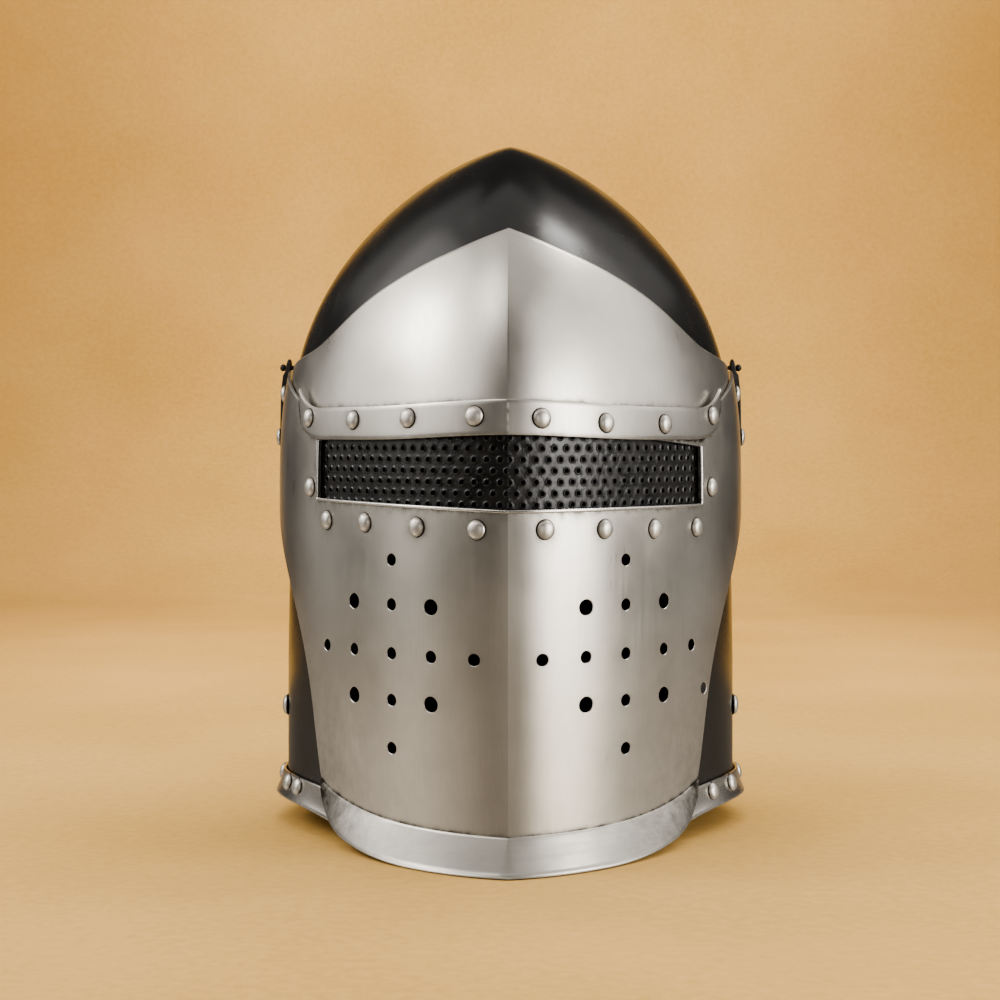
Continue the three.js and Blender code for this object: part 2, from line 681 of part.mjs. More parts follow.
// The frame's origin lies on the base, under the middle of the whole.
const whole = new THREE.Box3().setFromObject(helmet);
helmet.children.forEach(mesh => { mesh.position.y = -(whole.min.y + whole.max.y) / 2; });

export default helmet;
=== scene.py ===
# Visored steel helmet: the finished surfaces, built around the fixed frame in metres.
# The front faces -Y, +X is to the right of someone facing it, +Z is up.
import json
import math

import bpy
import numpy as np
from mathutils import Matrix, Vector
from mathutils.kdtree import KDTree


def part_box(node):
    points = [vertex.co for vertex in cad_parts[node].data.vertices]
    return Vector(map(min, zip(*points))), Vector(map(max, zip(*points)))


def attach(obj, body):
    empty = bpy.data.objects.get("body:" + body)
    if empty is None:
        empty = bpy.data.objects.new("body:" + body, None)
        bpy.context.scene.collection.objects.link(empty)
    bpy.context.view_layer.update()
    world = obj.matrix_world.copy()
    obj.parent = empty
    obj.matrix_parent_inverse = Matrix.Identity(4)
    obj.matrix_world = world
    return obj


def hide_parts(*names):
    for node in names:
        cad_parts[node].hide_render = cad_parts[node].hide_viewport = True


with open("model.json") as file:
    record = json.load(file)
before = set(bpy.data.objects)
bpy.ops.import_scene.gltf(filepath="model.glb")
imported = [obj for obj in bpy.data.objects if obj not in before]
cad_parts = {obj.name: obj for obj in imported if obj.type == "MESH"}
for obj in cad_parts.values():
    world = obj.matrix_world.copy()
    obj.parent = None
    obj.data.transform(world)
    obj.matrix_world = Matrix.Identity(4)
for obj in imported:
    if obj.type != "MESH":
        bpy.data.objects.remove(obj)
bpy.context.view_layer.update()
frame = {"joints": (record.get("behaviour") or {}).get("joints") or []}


# Skull: the bowl of the helmet, raised from one steel sheet with a keel from the brow to the nape.
# Its front is cut open for the face, its base edge flares over the shoulders, and it is blackened.
lift_joint = frame["joints"][0]
pivot_y, pivot_z = lift_joint["pos_m"][1:]
skull_half_width = 0.112
skull_base_grow = 0.001
base_grow_z = 0.15
base_grow_run = 0.08
dome_round = 2.2
dome_full = 0.71
skull_wall = 0.002
apex_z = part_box("skull")[1].z
dome_base_z = 0.19
crown_y = pivot_y - 0.005
brow_y = crown_y - 0.14
chin_y = crown_y - 0.127
back_y = crown_y + 0.118
nape_y = crown_y + 0.103
arch_height = 0.0135
arch_reach = 0.088
arch_fade = 0.07
flare_out = 0.004
flare_height = 0.024
skull_edge_level = 0.0022
opening_base = 0.05
opening_eyes = 0.07
opening_eyes_z = 0.165
opening_top_z = 0.226
opening_chin_z = 0.025
opening_cheek_z = (0.075, 0.11)
opening_brow_x = 0.042
opening_brow_rise = 0.038
opening_crown_drop = 0.002
opening_knife_foot_z = -0.02
opening_knife_y = (-0.2, crown_y - 0.03)
edge_steps = 4
beside_edge = 0.4
plan_step = 0.006
level_step = 0.0004
blackened_dark = (0.0065, 0.0062, 0.006, 1)
blackened_worn = (0.022, 0.02, 0.018, 1)
skull_dirt = (0.03, 0.026, 0.021, 1)


def mix(a, b, share):
    return a + (b - a) * share


def ease(share):
    held = np.clip(share, 0, 1)
    return held * held * (3 - 2 * held)


def bow(t, a, b, c, d):
    """Cubic curve through a and d, drawn towards b and c."""
    s = 1 - t
    return s**3 * a + 3 * s * s * t * b + 3 * s * t * t * c + t**3 * d


def half_plan(t, half_width, front_y, rear_y):
    """Outline of one level: t is 0 on the front ridge, 1 at the widest point, 2 on the back ridge."""
    ridge_reach, ridge_rake, temple_reach = 0.43, math.tan(math.radians(15)), 0.32
    back_reach, back_rake = 0.55, math.tan(math.radians(6))
    ahead = np.clip(t, 0, 1)
    behind = np.clip(t - 1, 0, 1)
    cheek_x = ridge_reach * half_width
    temple_y = crown_y - temple_reach * (crown_y - front_y)
    front = (
        bow(ahead, 0, cheek_x, half_width, half_width),
        bow(ahead, front_y, front_y + cheek_x * ridge_rake, temple_y, crown_y),
    )
    back_x = back_reach * half_width
    flank_y = crown_y + back_reach * (rear_y - crown_y)
    rear = (
        bow(behind, half_width, half_width, back_x, 0),
        bow(behind, crown_y, flank_y, rear_y - back_x * back_rake, rear_y),
    )
    return [np.where(t <= 1, a, b) for a, b in zip(front, rear)]


def plan_out(t, half_width, front_y, rear_y, out):
    """The same outline moved outward, square to itself, with a mitre on the two ridges."""
    step, close, least_lean = 0.001, 1e-6, 0.1
    x, y = half_plan(t, half_width, front_y, rear_y)
    near = half_plan(np.clip(t - step, 0, 2), half_width, front_y, rear_y)
    far = half_plan(np.clip(t + step, 0, 2), half_width, front_y, rear_y)
    run_x, run_y = far[0] - near[0], far[1] - near[1]
    size = np.maximum(np.hypot(run_x, run_y), 1e-9)
    square_x, square_y = run_y / size, -run_x / size
    on_ridge = (t < close) | (t > 2 - close)
    mitre = out / np.where(np.abs(square_y) < least_lean, 1, square_y)
    return np.where(on_ridge, 0, x + square_x * out), y + np.where(on_ridge, mitre, square_y * out)


def skull_section(z):
    """Half width, front and rear of the bowl at a height."""
    rise = np.clip((z - dome_base_z) / (apex_z - dome_base_z), 0, 1)
    drop = np.clip(1 - z / dome_base_z, 0, 1) ** 2
    dome = np.sqrt(1 - rise**2)
    half_width = skull_half_width * (1 - rise**dome_round) ** dome_full
    half_width = half_width + skull_base_grow * ease((base_grow_z - z) / base_grow_run)
    front = crown_y + (mix(brow_y, chin_y, drop) - crown_y) * dome
    rear = crown_y + (mix(back_y, nape_y, drop) - crown_y) * dome
    return half_width, front, rear


def skull_surface(u, level, out=0.0):
    """Outside of the bowl: u runs once round from the front ridge, 0 to 4."""
    around = np.mod(u, 4)
    t = np.where(around <= 2, around, 4 - around)
    section = skull_section(level)
    plan_y = half_plan(t, *section)[1]
    arch = arch_height * np.clip(1 - (np.abs(plan_y - crown_y) / arch_reach) ** 4, 0, 1)
    flare = flare_out * np.clip(1 - level / flare_height, 0, 1) ** 2
    x, y = plan_out(t, *section, out + flare)
    z = level + arch * np.clip(1 - level / arch_fade, 0, 1) ** 2
    return np.stack([np.where(around <= 2, x, -x), y, z], -1)


def normals(surface, u, v, step_v):
    """Outward normals of a surface at points u, v."""
    along = surface(u + plan_step, v) - surface(u - plan_step, v)
    up = surface(u, v + step_v) - surface(u, v - step_v)
    normal = np.cross(along, up)
    normal /= np.maximum(np.linalg.norm(normal, axis=-1, keepdims=True), 1e-15)
    away = surface(u, v) - np.array([0, crown_y, 0])
    return normal * np.sign((normal * away)[..., :2].sum())


def new_piece(name, points, faces, edges=()):
    mesh = bpy.data.meshes.new(name)
    mesh.from_pydata(np.asarray(points).tolist(), edges, faces)
    mesh.validate()
    piece = bpy.data.objects.new(name, mesh)
    bpy.context.scene.collection.objects.link(piece)
    return piece


def store(piece, name, values):
    """Keeps a value on each point of a piece, for its material to read."""
    kept = piece.data.attributes.new(name, "FLOAT", "POINT")
    kept.data.foreach_set("value", np.asarray(values, np.float32))


def sheet(name, surface, us, vs, thickness, step_v, wrap=False, tip=None, steps=edge_steps):
    """Plate of even thickness inside a surface, its edges rounded; tip closes a wrapped one on top."""
    u, v = np.meshgrid(us, vs)
    outer = surface(u, v)
    normal = normals(surface, u, v, step_v)
    inner = outer - thickness * normal
    rows, columns = u.shape
    points = [outer.reshape(-1, 3), inner.reshape(-1, 3)]
    count = rows * columns
    grid = np.arange(count).reshape(rows, columns)
    ahead = np.roll(grid, -1, 1) if wrap else grid[:, 1:]
    here = grid if wrap else grid[:, :-1]
    quads = np.stack([here[:-1], ahead[:-1], ahead[1:], here[1:]], -1).reshape(-1, 4)
    faces = quads.tolist() + (quads[:, ::-1] + count).tolist()
    if wrap:
        loops = [grid[0]] if tip else [grid[0], grid[-1][::-1]]
    else:
        loops = [np.concatenate([grid[0, :-1], grid[:-1, -1], grid[-1, :0:-1], grid[:0:-1, 0]])]
    edge = [np.zeros(2 * count)]
    made = 2 * count
    for loop in loops:
        i, j = np.divmod(loop, columns)
        beside = np.clip(i, 1, rows - 2), j if wrap else np.clip(j, 1, columns - 2)
        outward = outer[i, j] - outer[beside]
        square = normal[i, j]
        outward -= (outward * square).sum(-1, keepdims=True) * square
        outward /= np.linalg.norm(outward, axis=-1, keepdims=True)
        middle = outer[i, j] - square * thickness / 2
        edge[0][loop] = edge[0][loop + count] = beside_edge
        last = loop
        for step in range(1, steps + 1):
            if step < steps:
                angle = math.pi * step / steps
                ring = made + np.arange(len(loop))
                lean = square * math.cos(angle) + outward * math.sin(angle)
                points.append(middle + lean * thickness / 2)
                edge.append(np.ones(len(loop)))
                made += len(loop)
            else:
                ring = loop + count
            faces += np.stack([np.roll(last, -1), last, ring, np.roll(ring, -1)], -1).tolist()
            last = ring
    if tip:
        points.append(np.array(tip))
        edge.append(np.zeros(2))
        faces += np.stack([here[-1], ahead[-1], np.full(columns, made)], -1).tolist()
        faces += np.stack([ahead[-1] + count, here[-1] + count, np.full(columns, made + 1)], -1).tolist()
    facing = np.cross(outer[0, 1] - outer[0, 0], outer[1, 0] - outer[0, 0])
    if (facing * normal[0, 0]).sum() < 0:
        faces = [face[::-1] for face in faces]
    piece = new_piece(name, np.concatenate(points), faces)
    store(piece, "edge", np.concatenate(edge))
    return piece


def settle(piece):
    """Turns a piece with its modifiers into one plain mesh."""
    seen = piece.evaluated_get(bpy.context.evaluated_depsgraph_get())
    made = bpy.data.meshes.new_from_object(seen)
    piece.modifiers.clear()
    piece.data = made


def cut(piece, *cutters):
    """Takes closed shapes out of a piece."""
    for cutter in cutters:
        knife = piece.modifiers.new("cut", "BOOLEAN")
        knife.operation = "DIFFERENCE"
        knife.solver = "EXACT"
        knife.object = cutter
    settle(piece)
    for cutter in cutters:
        bpy.data.objects.remove(cutter)


def extruded(name, outline, near_y, far_y):
    """Closed prism of an outline in x and z, running along Y."""
    count = len(outline)
    flat = np.array(outline)
    ends = [np.stack([flat[:, 0], np.full(count, y), flat[:, 1]], -1) for y in (near_y, far_y)]
    here = np.arange(count)
    ahead = np.roll(here, -1)
    faces = np.stack([here, here + count, ahead + count, ahead], -1).tolist()
    faces += [here.tolist(), (here[::-1] + count).tolist()]
    return new_piece(name, np.concatenate(ends), faces)


def face_opening(wider):
    """Knife for the face opening: narrow at the chin, widest at the eyes, rounded over the brow."""
    low, wide, top = opening_base + wider, opening_eyes + wider, opening_top_z + wider
    share = np.linspace(0, 1, 13)
    cheek_z = bow(share, opening_chin_z, *opening_cheek_z, opening_eyes_z)
    brow_rise = opening_eyes_z + opening_brow_rise
    brow_z = bow(share, opening_eyes_z, brow_rise, top - opening_crown_drop, top)
    cheek = np.stack([bow(share, low, low, wide, wide), cheek_z], -1)
    brow = np.stack([bow(share, wide, wide, opening_brow_x, 0), brow_z], -1)
    right = np.concatenate([[[low, opening_knife_foot_z]], cheek, brow[1:]])
    left = right[-2::-1] * [-1, 1]
    return extruded("opening_knife", np.concatenate([right, left]), *opening_knife_y)


def finish(piece, material, angle=38):
    """Smooth shading, with edges sharper than the angle kept crisp, and the piece's material."""
    piece.data.shade_smooth()
    piece.data.set_sharp_from_angle(angle=math.radians(angle))
    piece.data.materials.append(material)


def stain(piece, *seams):
    """Marks where a piece darkens, with dirt and with painted shade; a seam is its points, how far it
    reaches and its strength.
    """
    marks = np.zeros(len(piece.data.vertices))
    for points, reach, strength in seams:
        places = np.asarray(points).reshape(-1, 3)
        tree = KDTree(len(places))
        for index, place in enumerate(places):
            tree.insert(place, index)
        tree.balance()
        close = [strength * math.exp(-tree.find(v.co)[2] / reach) for v in piece.data.vertices]
        marks = np.maximum(marks, close)
    store(piece, "stain", marks)


def node(tree, kind, inputs=None, **settings):
    """Adds a node; each input is a value or the output that feeds it."""
    made = tree.nodes.new(kind)
    for option, value in settings.items():
        setattr(made, option, value)
    for name, value in (inputs or {}).items():
        if isinstance(value, bpy.types.NodeSocket):
            tree.links.new(value, made.inputs[name])
        else:
            made.inputs[name].default_value = value
    return made


def blend(tree, share, a, b):
    """Colour between a and b."""
    return node(tree, "ShaderNodeMix", {0: share, 6: a, 7: b}, data_type="RGBA").outputs[2]


def span(tree, value, low, high, from_low=0.0, from_high=1.0):
    """Value carried from one range to another and held inside it."""
    return node(tree, "ShaderNodeMapRange", {
        "Value": value, "From Min": from_low, "From Max": from_high, "To Min": low, "To Max": high,
    }).outputs[0]


def sums(tree, operation, a, b):
    """One step of arithmetic on two values."""
    return node(tree, "ShaderNodeMath", {0: a, 1: b}, operation=operation).outputs[0]


def new_group(name, inputs, outputs):
    """Shader group with float inputs and outputs; gives the tree, its inlets and its outlets."""
    tree = bpy.data.node_groups.new(name, "ShaderNodeTree")
    for label, value in inputs.items():
        socket = tree.interface.new_socket(label, in_out="INPUT", socket_type="NodeSocketFloat")
        socket.default_value = value
    for label in outputs:
        tree.interface.new_socket(label, in_out="OUTPUT", socket_type="NodeSocketFloat")
    return tree, tree.nodes.new("NodeGroupInput").outputs, tree.nodes.new("NodeGroupOutput").inputs


def grain_group():
    """Upright brushing, soft clouds and slow waves left by the hammer and the polishing wheel."""
    tree, given, out = new_group(
        "brushed_grain",
        {"Across": 900.0, "Along": 22.0, "Cloud": 30.0, "Wave": 13.0},
        ["Streaks", "Clouds", "Waves"],
    )
    place = node(tree, "ShaderNodeTexCoord").outputs["Object"]
    across, along = given["Across"], given["Along"]
    stretch = node(tree, "ShaderNodeCombineXYZ", {0: across, 1: across, 2: along})
    drawn = node(tree, "ShaderNodeVectorMath", {0: place, 1: stretch.outputs[0]}, operation="MULTIPLY")
    fields = {
        "Streaks": {"Vector": drawn.outputs[0], "Scale": 1.0, "Detail": 3.0, "Roughness": 0.6},
        "Clouds": {"Vector": place, "Scale": given["Cloud"], "Detail": 4.0, "Roughness": 0.55},
        "Waves": {"Vector": place, "Scale": given["Wave"], "Detail": 1.0, "Roughness": 0.4},
    }
    for label, inputs in fields.items():
        tree.links.new(node(tree, "ShaderNodeTexNoise", inputs).outputs[0], out[label])
    return tree


def grime_and_shade_group():
    """Dirt and painted shade that creep out from seams and rivets in a broken edge, with a few loose specks
    of dirt.
    """
    tree, given, out = new_group(
        "grime", {"Stain": 0.0, "Amount": 0.6, "Speck": 0.3, "Scale": 160.0}, ["Mask"])
    place = node(tree, "ShaderNodeTexCoord").outputs["Object"]
    rough = node(tree, "ShaderNodeTexNoise", {
        "Vector": place, "Scale": given["Scale"], "Detail": 5.0, "Roughness": 0.65}).outputs[0]
    creep = sums(tree, "MULTIPLY", given["Stain"], span(tree, rough, 0.3, 1.4, 0.35, 0.72))
    fine = sums(tree, "MULTIPLY", given["Scale"], 3.0)
    dots = node(tree, "ShaderNodeTexNoise", {
        "Vector": place, "Scale": fine, "Detail": 2.0, "Roughness": 0.5}).outputs[0]
    specks = sums(tree, "MULTIPLY", span(tree, dots, 0.0, 1.0, 0.66, 0.76), given["Speck"])
    total = sums(tree, "ADD", sums(tree, "MULTIPLY", creep, given["Amount"]), specks)
    held = node(tree, "ShaderNodeClamp", {"Value": total})
    tree.links.new(held.outputs[0], out["Mask"])
    return tree


brushed_grain = grain_group()
grime = grime_and_shade_group()


def group(tree, shared, **inputs):
    """Places a shared group in a material."""
    return node(tree, "ShaderNodeGroup", inputs, node_tree=shared).outputs


def new_material(name):
    material = bpy.data.materials.new(name)
    material.use_nodes = True
    tree = material.node_tree
    return material, tree, tree.nodes["Principled BSDF"]


def mark(tree, name):
    """A piece's own mark, stored on its mesh."""
    return node(tree, "ShaderNodeAttribute", attribute_name=name).outputs["Fac"]


def dress(tree, shader, tone, gloss, relief, strength, distance):
    """Gives a material its colour, its gloss and its relief."""
    bump = node(tree, "ShaderNodeBump", {"Height": relief, "Strength": strength, "Distance": distance})
    tree.links.new(tone, shader.inputs["Base Color"])
    tree.links.new(gloss, shader.inputs["Roughness"])
    tree.links.new(bump.outputs[0], shader.inputs["Normal"])


def blackened_steel():
    material, tree, shader = new_material("blackened_steel")
    grain = group(tree, brushed_grain, Across=420.0, Along=160.0, Cloud=42.0, Wave=9.0)
    dirt_and_shade_mask = group(tree, grime, Stain=mark(tree, "stain"), Amount=0.7, Speck=0.1, Scale=120.0)["Mask"]
    worn = sums(tree, "MAXIMUM", span(tree, grain["Clouds"], 0.0, 0.25, 0.5, 0.75), mark(tree, "edge"))
    tone = blend(tree, dirt_and_shade_mask, blend(tree, worn, blackened_dark, blackened_worn), skull_dirt)
    cloudy = span(tree, grain["Clouds"], 0.2, 0.28, 0.3, 0.7)
    gloss = sums(tree, "ADD", cloudy, sums(tree, "MULTIPLY", dirt_and_shade_mask, 0.25))
    relief = sums(tree, "ADD", grain["Waves"], sums(tree, "MULTIPLY", grain["Streaks"], 0.01))
    dress(tree, shader, tone, gloss, relief, 0.4, 0.001)
    shader.inputs["IOR"].default_value = 1.55
    return material


half_round = np.concatenate([[0, 0.003], np.linspace(0.012, 1.988, 78), [1.997, 2]])
round_stations = np.concatenate([half_round, 4 - half_round[-2:0:-1]])
dome_angles = np.radians(np.linspace(0, 89, 44))
skull_levels = np.concatenate([
    np.linspace(skull_edge_level, flare_height, 12)[:-1],
    np.linspace(flare_height, dome_base_z, 28)[:-1],
    mix(dome_base_z, apex_z, np.sin(dome_angles)),
])
skull_shell = sheet(
    "skull_shell", skull_surface, round_stations, skull_levels, skull_wall, level_step, wrap=True,
    tip=[(0, crown_y, apex_z), (0, crown_y, apex_z - skull_wall)])
cut(skull_shell, face_opening(0))
finish(skull_shell, blackened_steel())
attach(skull_shell, "helmet")
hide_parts("skull")


# Rim: a steel strip laid over the flared base of the skull, from cheek to cheek round the back.
# It is left brighter than the skull and held by round-headed rivets through both sheets.
rim_plate = 0.0015
rim_out = rim_plate + 0.0006
rim_height = 0.0165
rim_rivet_level = 0.011
rim_stations_right = np.array([0.68, 0.81, 1.05, 1.23, 1.4, 1.57, 1.74, 1.9])
rim_stations_left = np.array([0.74, 0.82, 1.05, 1.23, 1.4, 1.57, 1.74, 1.9])
rim_stations = np.concatenate([rim_stations_right, 4 - rim_stations_left])
rim_knife_wider = 0.0006
rim_colour = (0.58, 0.55, 0.505, 1)
steel_dirt_and_shade = (0.04, 0.034, 0.027, 1)
steel_dulled = 0.82
edge_wear_and_highlight = 1.25


def steel(name, colour, roughness, brushing, dirt_and_shade_amount, across=900.0, along=14.0):
    """Bare steel: brushed, clouded by handling, dark with dirt and painted shade, and bright on its edges
    with wear and a painted highlight.
    """
    material, tree, shader = new_material(name)
    grain = group(tree, brushed_grain, Across=across, Along=along, Wave=8.0)
    dirt_and_shade_mask = group(tree, grime, Stain=mark(tree, "stain"), Amount=dirt_and_shade_amount, Speck=0.05)["Mask"]
    dull = tuple(c * steel_dulled for c in colour[:3]) + (1,)
    bright = tuple(min(1, c * edge_wear_and_highlight) for c in colour[:3]) + (1,)
    streaky = sums(tree, "MULTIPLY", span(tree, grain["Streaks"], 0, 1, 0.35, 0.65), 0.4)
    # Lighter on the rounded plate edges: rubbed wear, and a painted highlight where the edges catch light.
    edge_wear_and_highlight_mask = sums(tree, "MULTIPLY", mark(tree, "edge"), 0.8)
    tone = blend(tree, span(tree, grain["Clouds"], 0, 1, 0.3, 0.7), dull, colour)
    tone = blend(tree, edge_wear_and_highlight_mask, blend(tree, streaky, tone, dull), bright)
    # Darker where the piece's mark is set: dirt, and painted shade in folds, gaps and under the strips.
    tone = blend(tree, dirt_and_shade_mask, tone, steel_dirt_and_shade)
    gloss = sums(tree, "ADD", span(tree, grain["Streaks"], roughness - 0.02, roughness + 0.03, 0.3, 0.7),
                 span(tree, grain["Clouds"], -0.02, 0.03, 0.3, 0.7))
    gloss = sums(tree, "ADD", gloss, sums(tree, "MULTIPLY", dirt_and_shade_mask, 0.3))
    relief = sums(tree, "ADD", grain["Waves"], sums(tree, "MULTIPLY", grain["Streaks"], brushing))
    dress(tree, shader, tone, gloss, relief, 0.4, 0.001)
    shader.inputs["Metallic"].default_value = 1.0
    return material


def rim_surface(u, level):
    return skull_surface(u, level, rim_out)


rim_levels = np.linspace(rim_plate / 2, rim_height, 12)
rim_strip = sheet("rim_strip", rim_surface, round_stations, rim_levels, rim_plate, level_step, wrap=True)
cut(rim_strip, face_opening(rim_knife_wider))
finish(rim_strip, steel("rim_steel", rim_colour, 0.24, 0.012, 0.6))
rim_seats = rim_surface(rim_stations, rim_rivet_level)
rim_aims = normals(rim_surface, rim_stations, rim_rivet_level, level_step)
rim_seam = rim_surface(np.linspace(0, 4, 500), rim_height)
stain(rim_strip, (rim_seats, 0.0016, 1.0), (rim_seam, 0.0012, 0.9))
stain(skull_shell, (rim_seam, 0.0025, 1.0))
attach(rim_strip, "helmet")
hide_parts("skull_rim")


# Rivets of the skull and rim: turned steel with polished round heads, clenched on the inside.
# Eight on each side hold the rim strip, and one sits alone on each flank.
rivet_radius = 0.0044
rivet_height = 0.0027
flank_rivet_radius = 0.005
rim_rivet_radius = 0.0043
rim_rivet_height = 0.0026
flank_rivet_y = crown_y - 0.004
flank_rivet_z = 0.0563
foot_dirt_and_shade = 3.0
foot_dirt_and_shade_height = 0.06
rivet_colour = (0.7, 0.67, 0.615, 1)


def spokes(sides):
    """Directions evenly round a circle."""
    angles = np.linspace(0, 2 * math.pi, sides, endpoint=False)
    return np.stack([np.cos(angles), np.sin(angles)], -1)


def hoops(rings, sides):
    """Faces between rings of points, each ring joined to the next."""
    low = np.arange(rings - 1)[:, None] * sides
    here = low + np.arange(sides)
    ahead = low + np.roll(np.arange(sides), -1)
    return np.stack([here, ahead, ahead + sides, here + sides], -1).reshape(-1, 4).tolist()


def turned(name, profile, sides=28):
    """Solid of revolution about Z: radius and height of each ring, closed on the axis at both ends."""
    rings = [np.column_stack([r * spokes(sides), np.full(sides, h)]) for r, h in profile[1:-1]]
    points = np.concatenate(rings + [[[0, 0, profile[0][1]], [0, 0, profile[-1][1]]]])
    here = np.arange(sides)
    ahead = np.roll(here, -1)
    start = len(rings) * sides
    top = start - sides
    faces = hoops(len(rings), sides)
    faces += np.stack([ahead, here, np.full(sides, start)], -1).tolist()
    faces += np.stack([here + top, ahead + top, np.full(sides, start + 1)], -1).tolist()
    return new_piece(name, points, faces)


def new_tree(name, inputs):
    """Geometry tree with named inputs; gives the tree, its inlets and its outlet."""
    tree = bpy.data.node_groups.new(name, "GeometryNodeTree")
    for label, kind in inputs.items():
        tree.interface.new_socket(label, in_out="INPUT", socket_type="NodeSocket" + kind)
    tree.interface.new_socket("Made", in_out="OUTPUT", socket_type="NodeSocketGeometry")
    return tree, tree.nodes.new("NodeGroupInput").outputs, tree.nodes.new("NodeGroupOutput").inputs[0]


def grow(piece, tree, **inputs):
    """Runs a geometry tree on a piece and keeps the result as plain mesh."""
    modifier = piece.modifiers.new(tree.name, "NODES")
    modifier.node_group = tree
    for item in tree.interface.items_tree:
        label = item.name.replace(" ", "_")
        if item.in_out == "INPUT" and label in inputs:
            modifier[item.identifier] = inputs[label]
    settle(piece)
    piece.data.materials.clear()
    piece.data.materials.append(inputs["Finish"])


def end_tree(tree, geometry, material, outlet):
    """Every tree ends alike: real geometry, smooth, with its finish."""
    real = node(tree, "GeometryNodeRealizeInstances", {0: geometry}).outputs[0]
    soft = node(tree, "GeometryNodeSetShadeSmooth", {"Geometry": real}).outputs[0]
    done = node(tree, "GeometryNodeSetMaterial", {"Geometry": soft, "Material": material})
    tree.links.new(done.outputs[0], outlet)


def rivet_tree():
    """A head on every seat, turned square to the plate."""
    tree, given, outlet = new_tree("rivet_heads", {
        "Seats": "Geometry", "Head": "Object", "Radius": "Float", "Height": "Float", "Finish": "Material"})
    head = node(tree, "GeometryNodeObjectInfo", {"Object": given["Head"]}).outputs["Geometry"]
    aim = node(tree, "GeometryNodeInputNamedAttribute", {"Name": "aim"}, data_type="FLOAT_VECTOR")
    turn = node(tree, "FunctionNodeAlignRotationToVector", {"Vector": aim.outputs[0]}, axis="Z")
    radius, height = given["Radius"], given["Height"]
    size = node(tree, "ShaderNodeCombineXYZ", {0: radius, 1: radius, 2: height})
    set_in = node(tree, "GeometryNodeInstanceOnPoints", {
        "Points": given["Seats"], "Instance": head, "Rotation": turn.outputs[0], "Scale": size.outputs[0]})
    end_tree(tree, set_in.outputs[0], given["Finish"], outlet)
    return tree


rivet_profile = [
    (0, -0.1), (1.07, -0.1), (1.07, 0.025), (0.97, 0.05), (1, 0.14), (0.97, 0.32), (0.89, 0.53),
    (0.76, 0.71), (0.6, 0.85), (0.4, 0.94), (0.2, 0.985), (0, 1),
]
rivet_head = turned("rivet_head", rivet_profile)
# The foot of each head is darkened: painted contact shade where the head meets the plate, and dirt.
store(rivet_head, "stain", [
    foot_dirt_and_shade if v.co.z < foot_dirt_and_shade_height else 0.0 for v in rivet_head.data.vertices])
rivet_heads = rivet_tree()
rivet_steel = steel("rivet_steel", rivet_colour, 0.4, 0.002, 0.9, across=500.0, along=500.0)


def rivets(name, seats, aims, radius, height):
    piece = new_piece(name, seats, [])
    way = piece.data.attributes.new("aim", "FLOAT_VECTOR", "POINT")
    way.data.foreach_set("vector", np.asarray(aims, np.float32).ravel())
    grow(piece, rivet_heads, Head=rivet_head, Radius=radius, Height=height, Finish=rivet_steel)
    return piece


def rivet_pair(name, x, y, z, radius, height):
    """One rivet on each side of the helmet, facing outward."""
    return rivets(name, [(x, y, z), (-x, y, z)], [(1, 0, 0), (-1, 0, 0)], radius, height)


rim_rivets = rivets("rim_rivets", rim_seats, rim_aims, rim_rivet_radius, rim_rivet_height)
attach(rim_rivets, "helmet")
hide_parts(*[f"rim_rivet_{side}_{n + 1}" for side in ("right", "left") for n in range(8)])
flank_x = skull_half_width + skull_base_grow
flank_rivets = rivet_pair(
    "flank_rivets", flank_x, flank_rivet_y, flank_rivet_z, flank_rivet_radius, rivet_height)
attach(flank_rivets, "helmet")
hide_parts("skull_rivet_right", "skull_rivet_left")


# Face plate of the visor: one steel sheet, keeled down the middle and drawn back to the two ears.
# The long sight and the round breaths are cut through it, and its foot turns out into a bright lip.
visor_plate = 0.0016
visor_half_width = 0.1174
visor_ridge_y = crown_y - 0.151
sight_level_z = 0.16
ear_z = 0.226
ear_tuck = 0.0048
brow_tuck = 0.0052
crease_z = 0.0144
chin_width_tuck = 0.0022
chin_ridge_tuck = 0.0085
face_top_z = 0.204
ear_radius = 0.012
lip_end_y = crown_y - 0.066
lip_end_z = 0.0279
lip_slope = math.tan(math.radians(52))
lip_settle = 0.9
lip_foot = {
    "at": [0, 0.3, 0.42, 0.53, 0.65, 0.72, 0.79, 0.865, 0.9, 0.94, 0.966, 0.985, 1],
    "z": [0.0017, 0.0017, 0.0018, 0.0024, 0.0038, 0.0051, 0.0067, 0.0096,
          0.0117, 0.0148, 0.0176, 0.0203, 0.0235],
}
crease_lift_power = 4
top_lift_from = 0.55
ear_run = 0.1
rear_spring = 0.006
rear_spring_z = 0.03
rear_sweep_top_z = 0.196
rear_sweep_power = 1.695
ear_share = 0.88
sight_half = 0.0914
sight_tilt = 0.0014
sight_middle_z = sight_level_z + 0.015
sight_top_z = 0.195
sight_end_top_z = 0.189
sight_bottom_z = 0.1592
sight_end_bottom_z = 0.161
sill_bend = 0.8
head_bend = 2
sight_knife_out = 0.005
sight_knife_depth = 0.014
breath_columns = [0.0152, 0.0348, 0.0534, 0.072, 0.0863]
breath_rows = [0.1363, 0.116, 0.0937, 0.0723, 0.0502]
breath_cross = {0: [2], 1: [1, 2, 3], 2: [0, 1, 2, 3, 4], 3: [1, 2, 3], 4: [2]}
breath_radius = 0.00272
breath_corner_radius = 0.00355
breath_broad = 1.1
breath_sink = 0.0003
punch_front = 0.001
punch_depth = 0.006
punch_splay = 1.2
lone_breath = (0.093, 0.0718)
visor_colour = (0.635, 0.605, 0.55, 1)


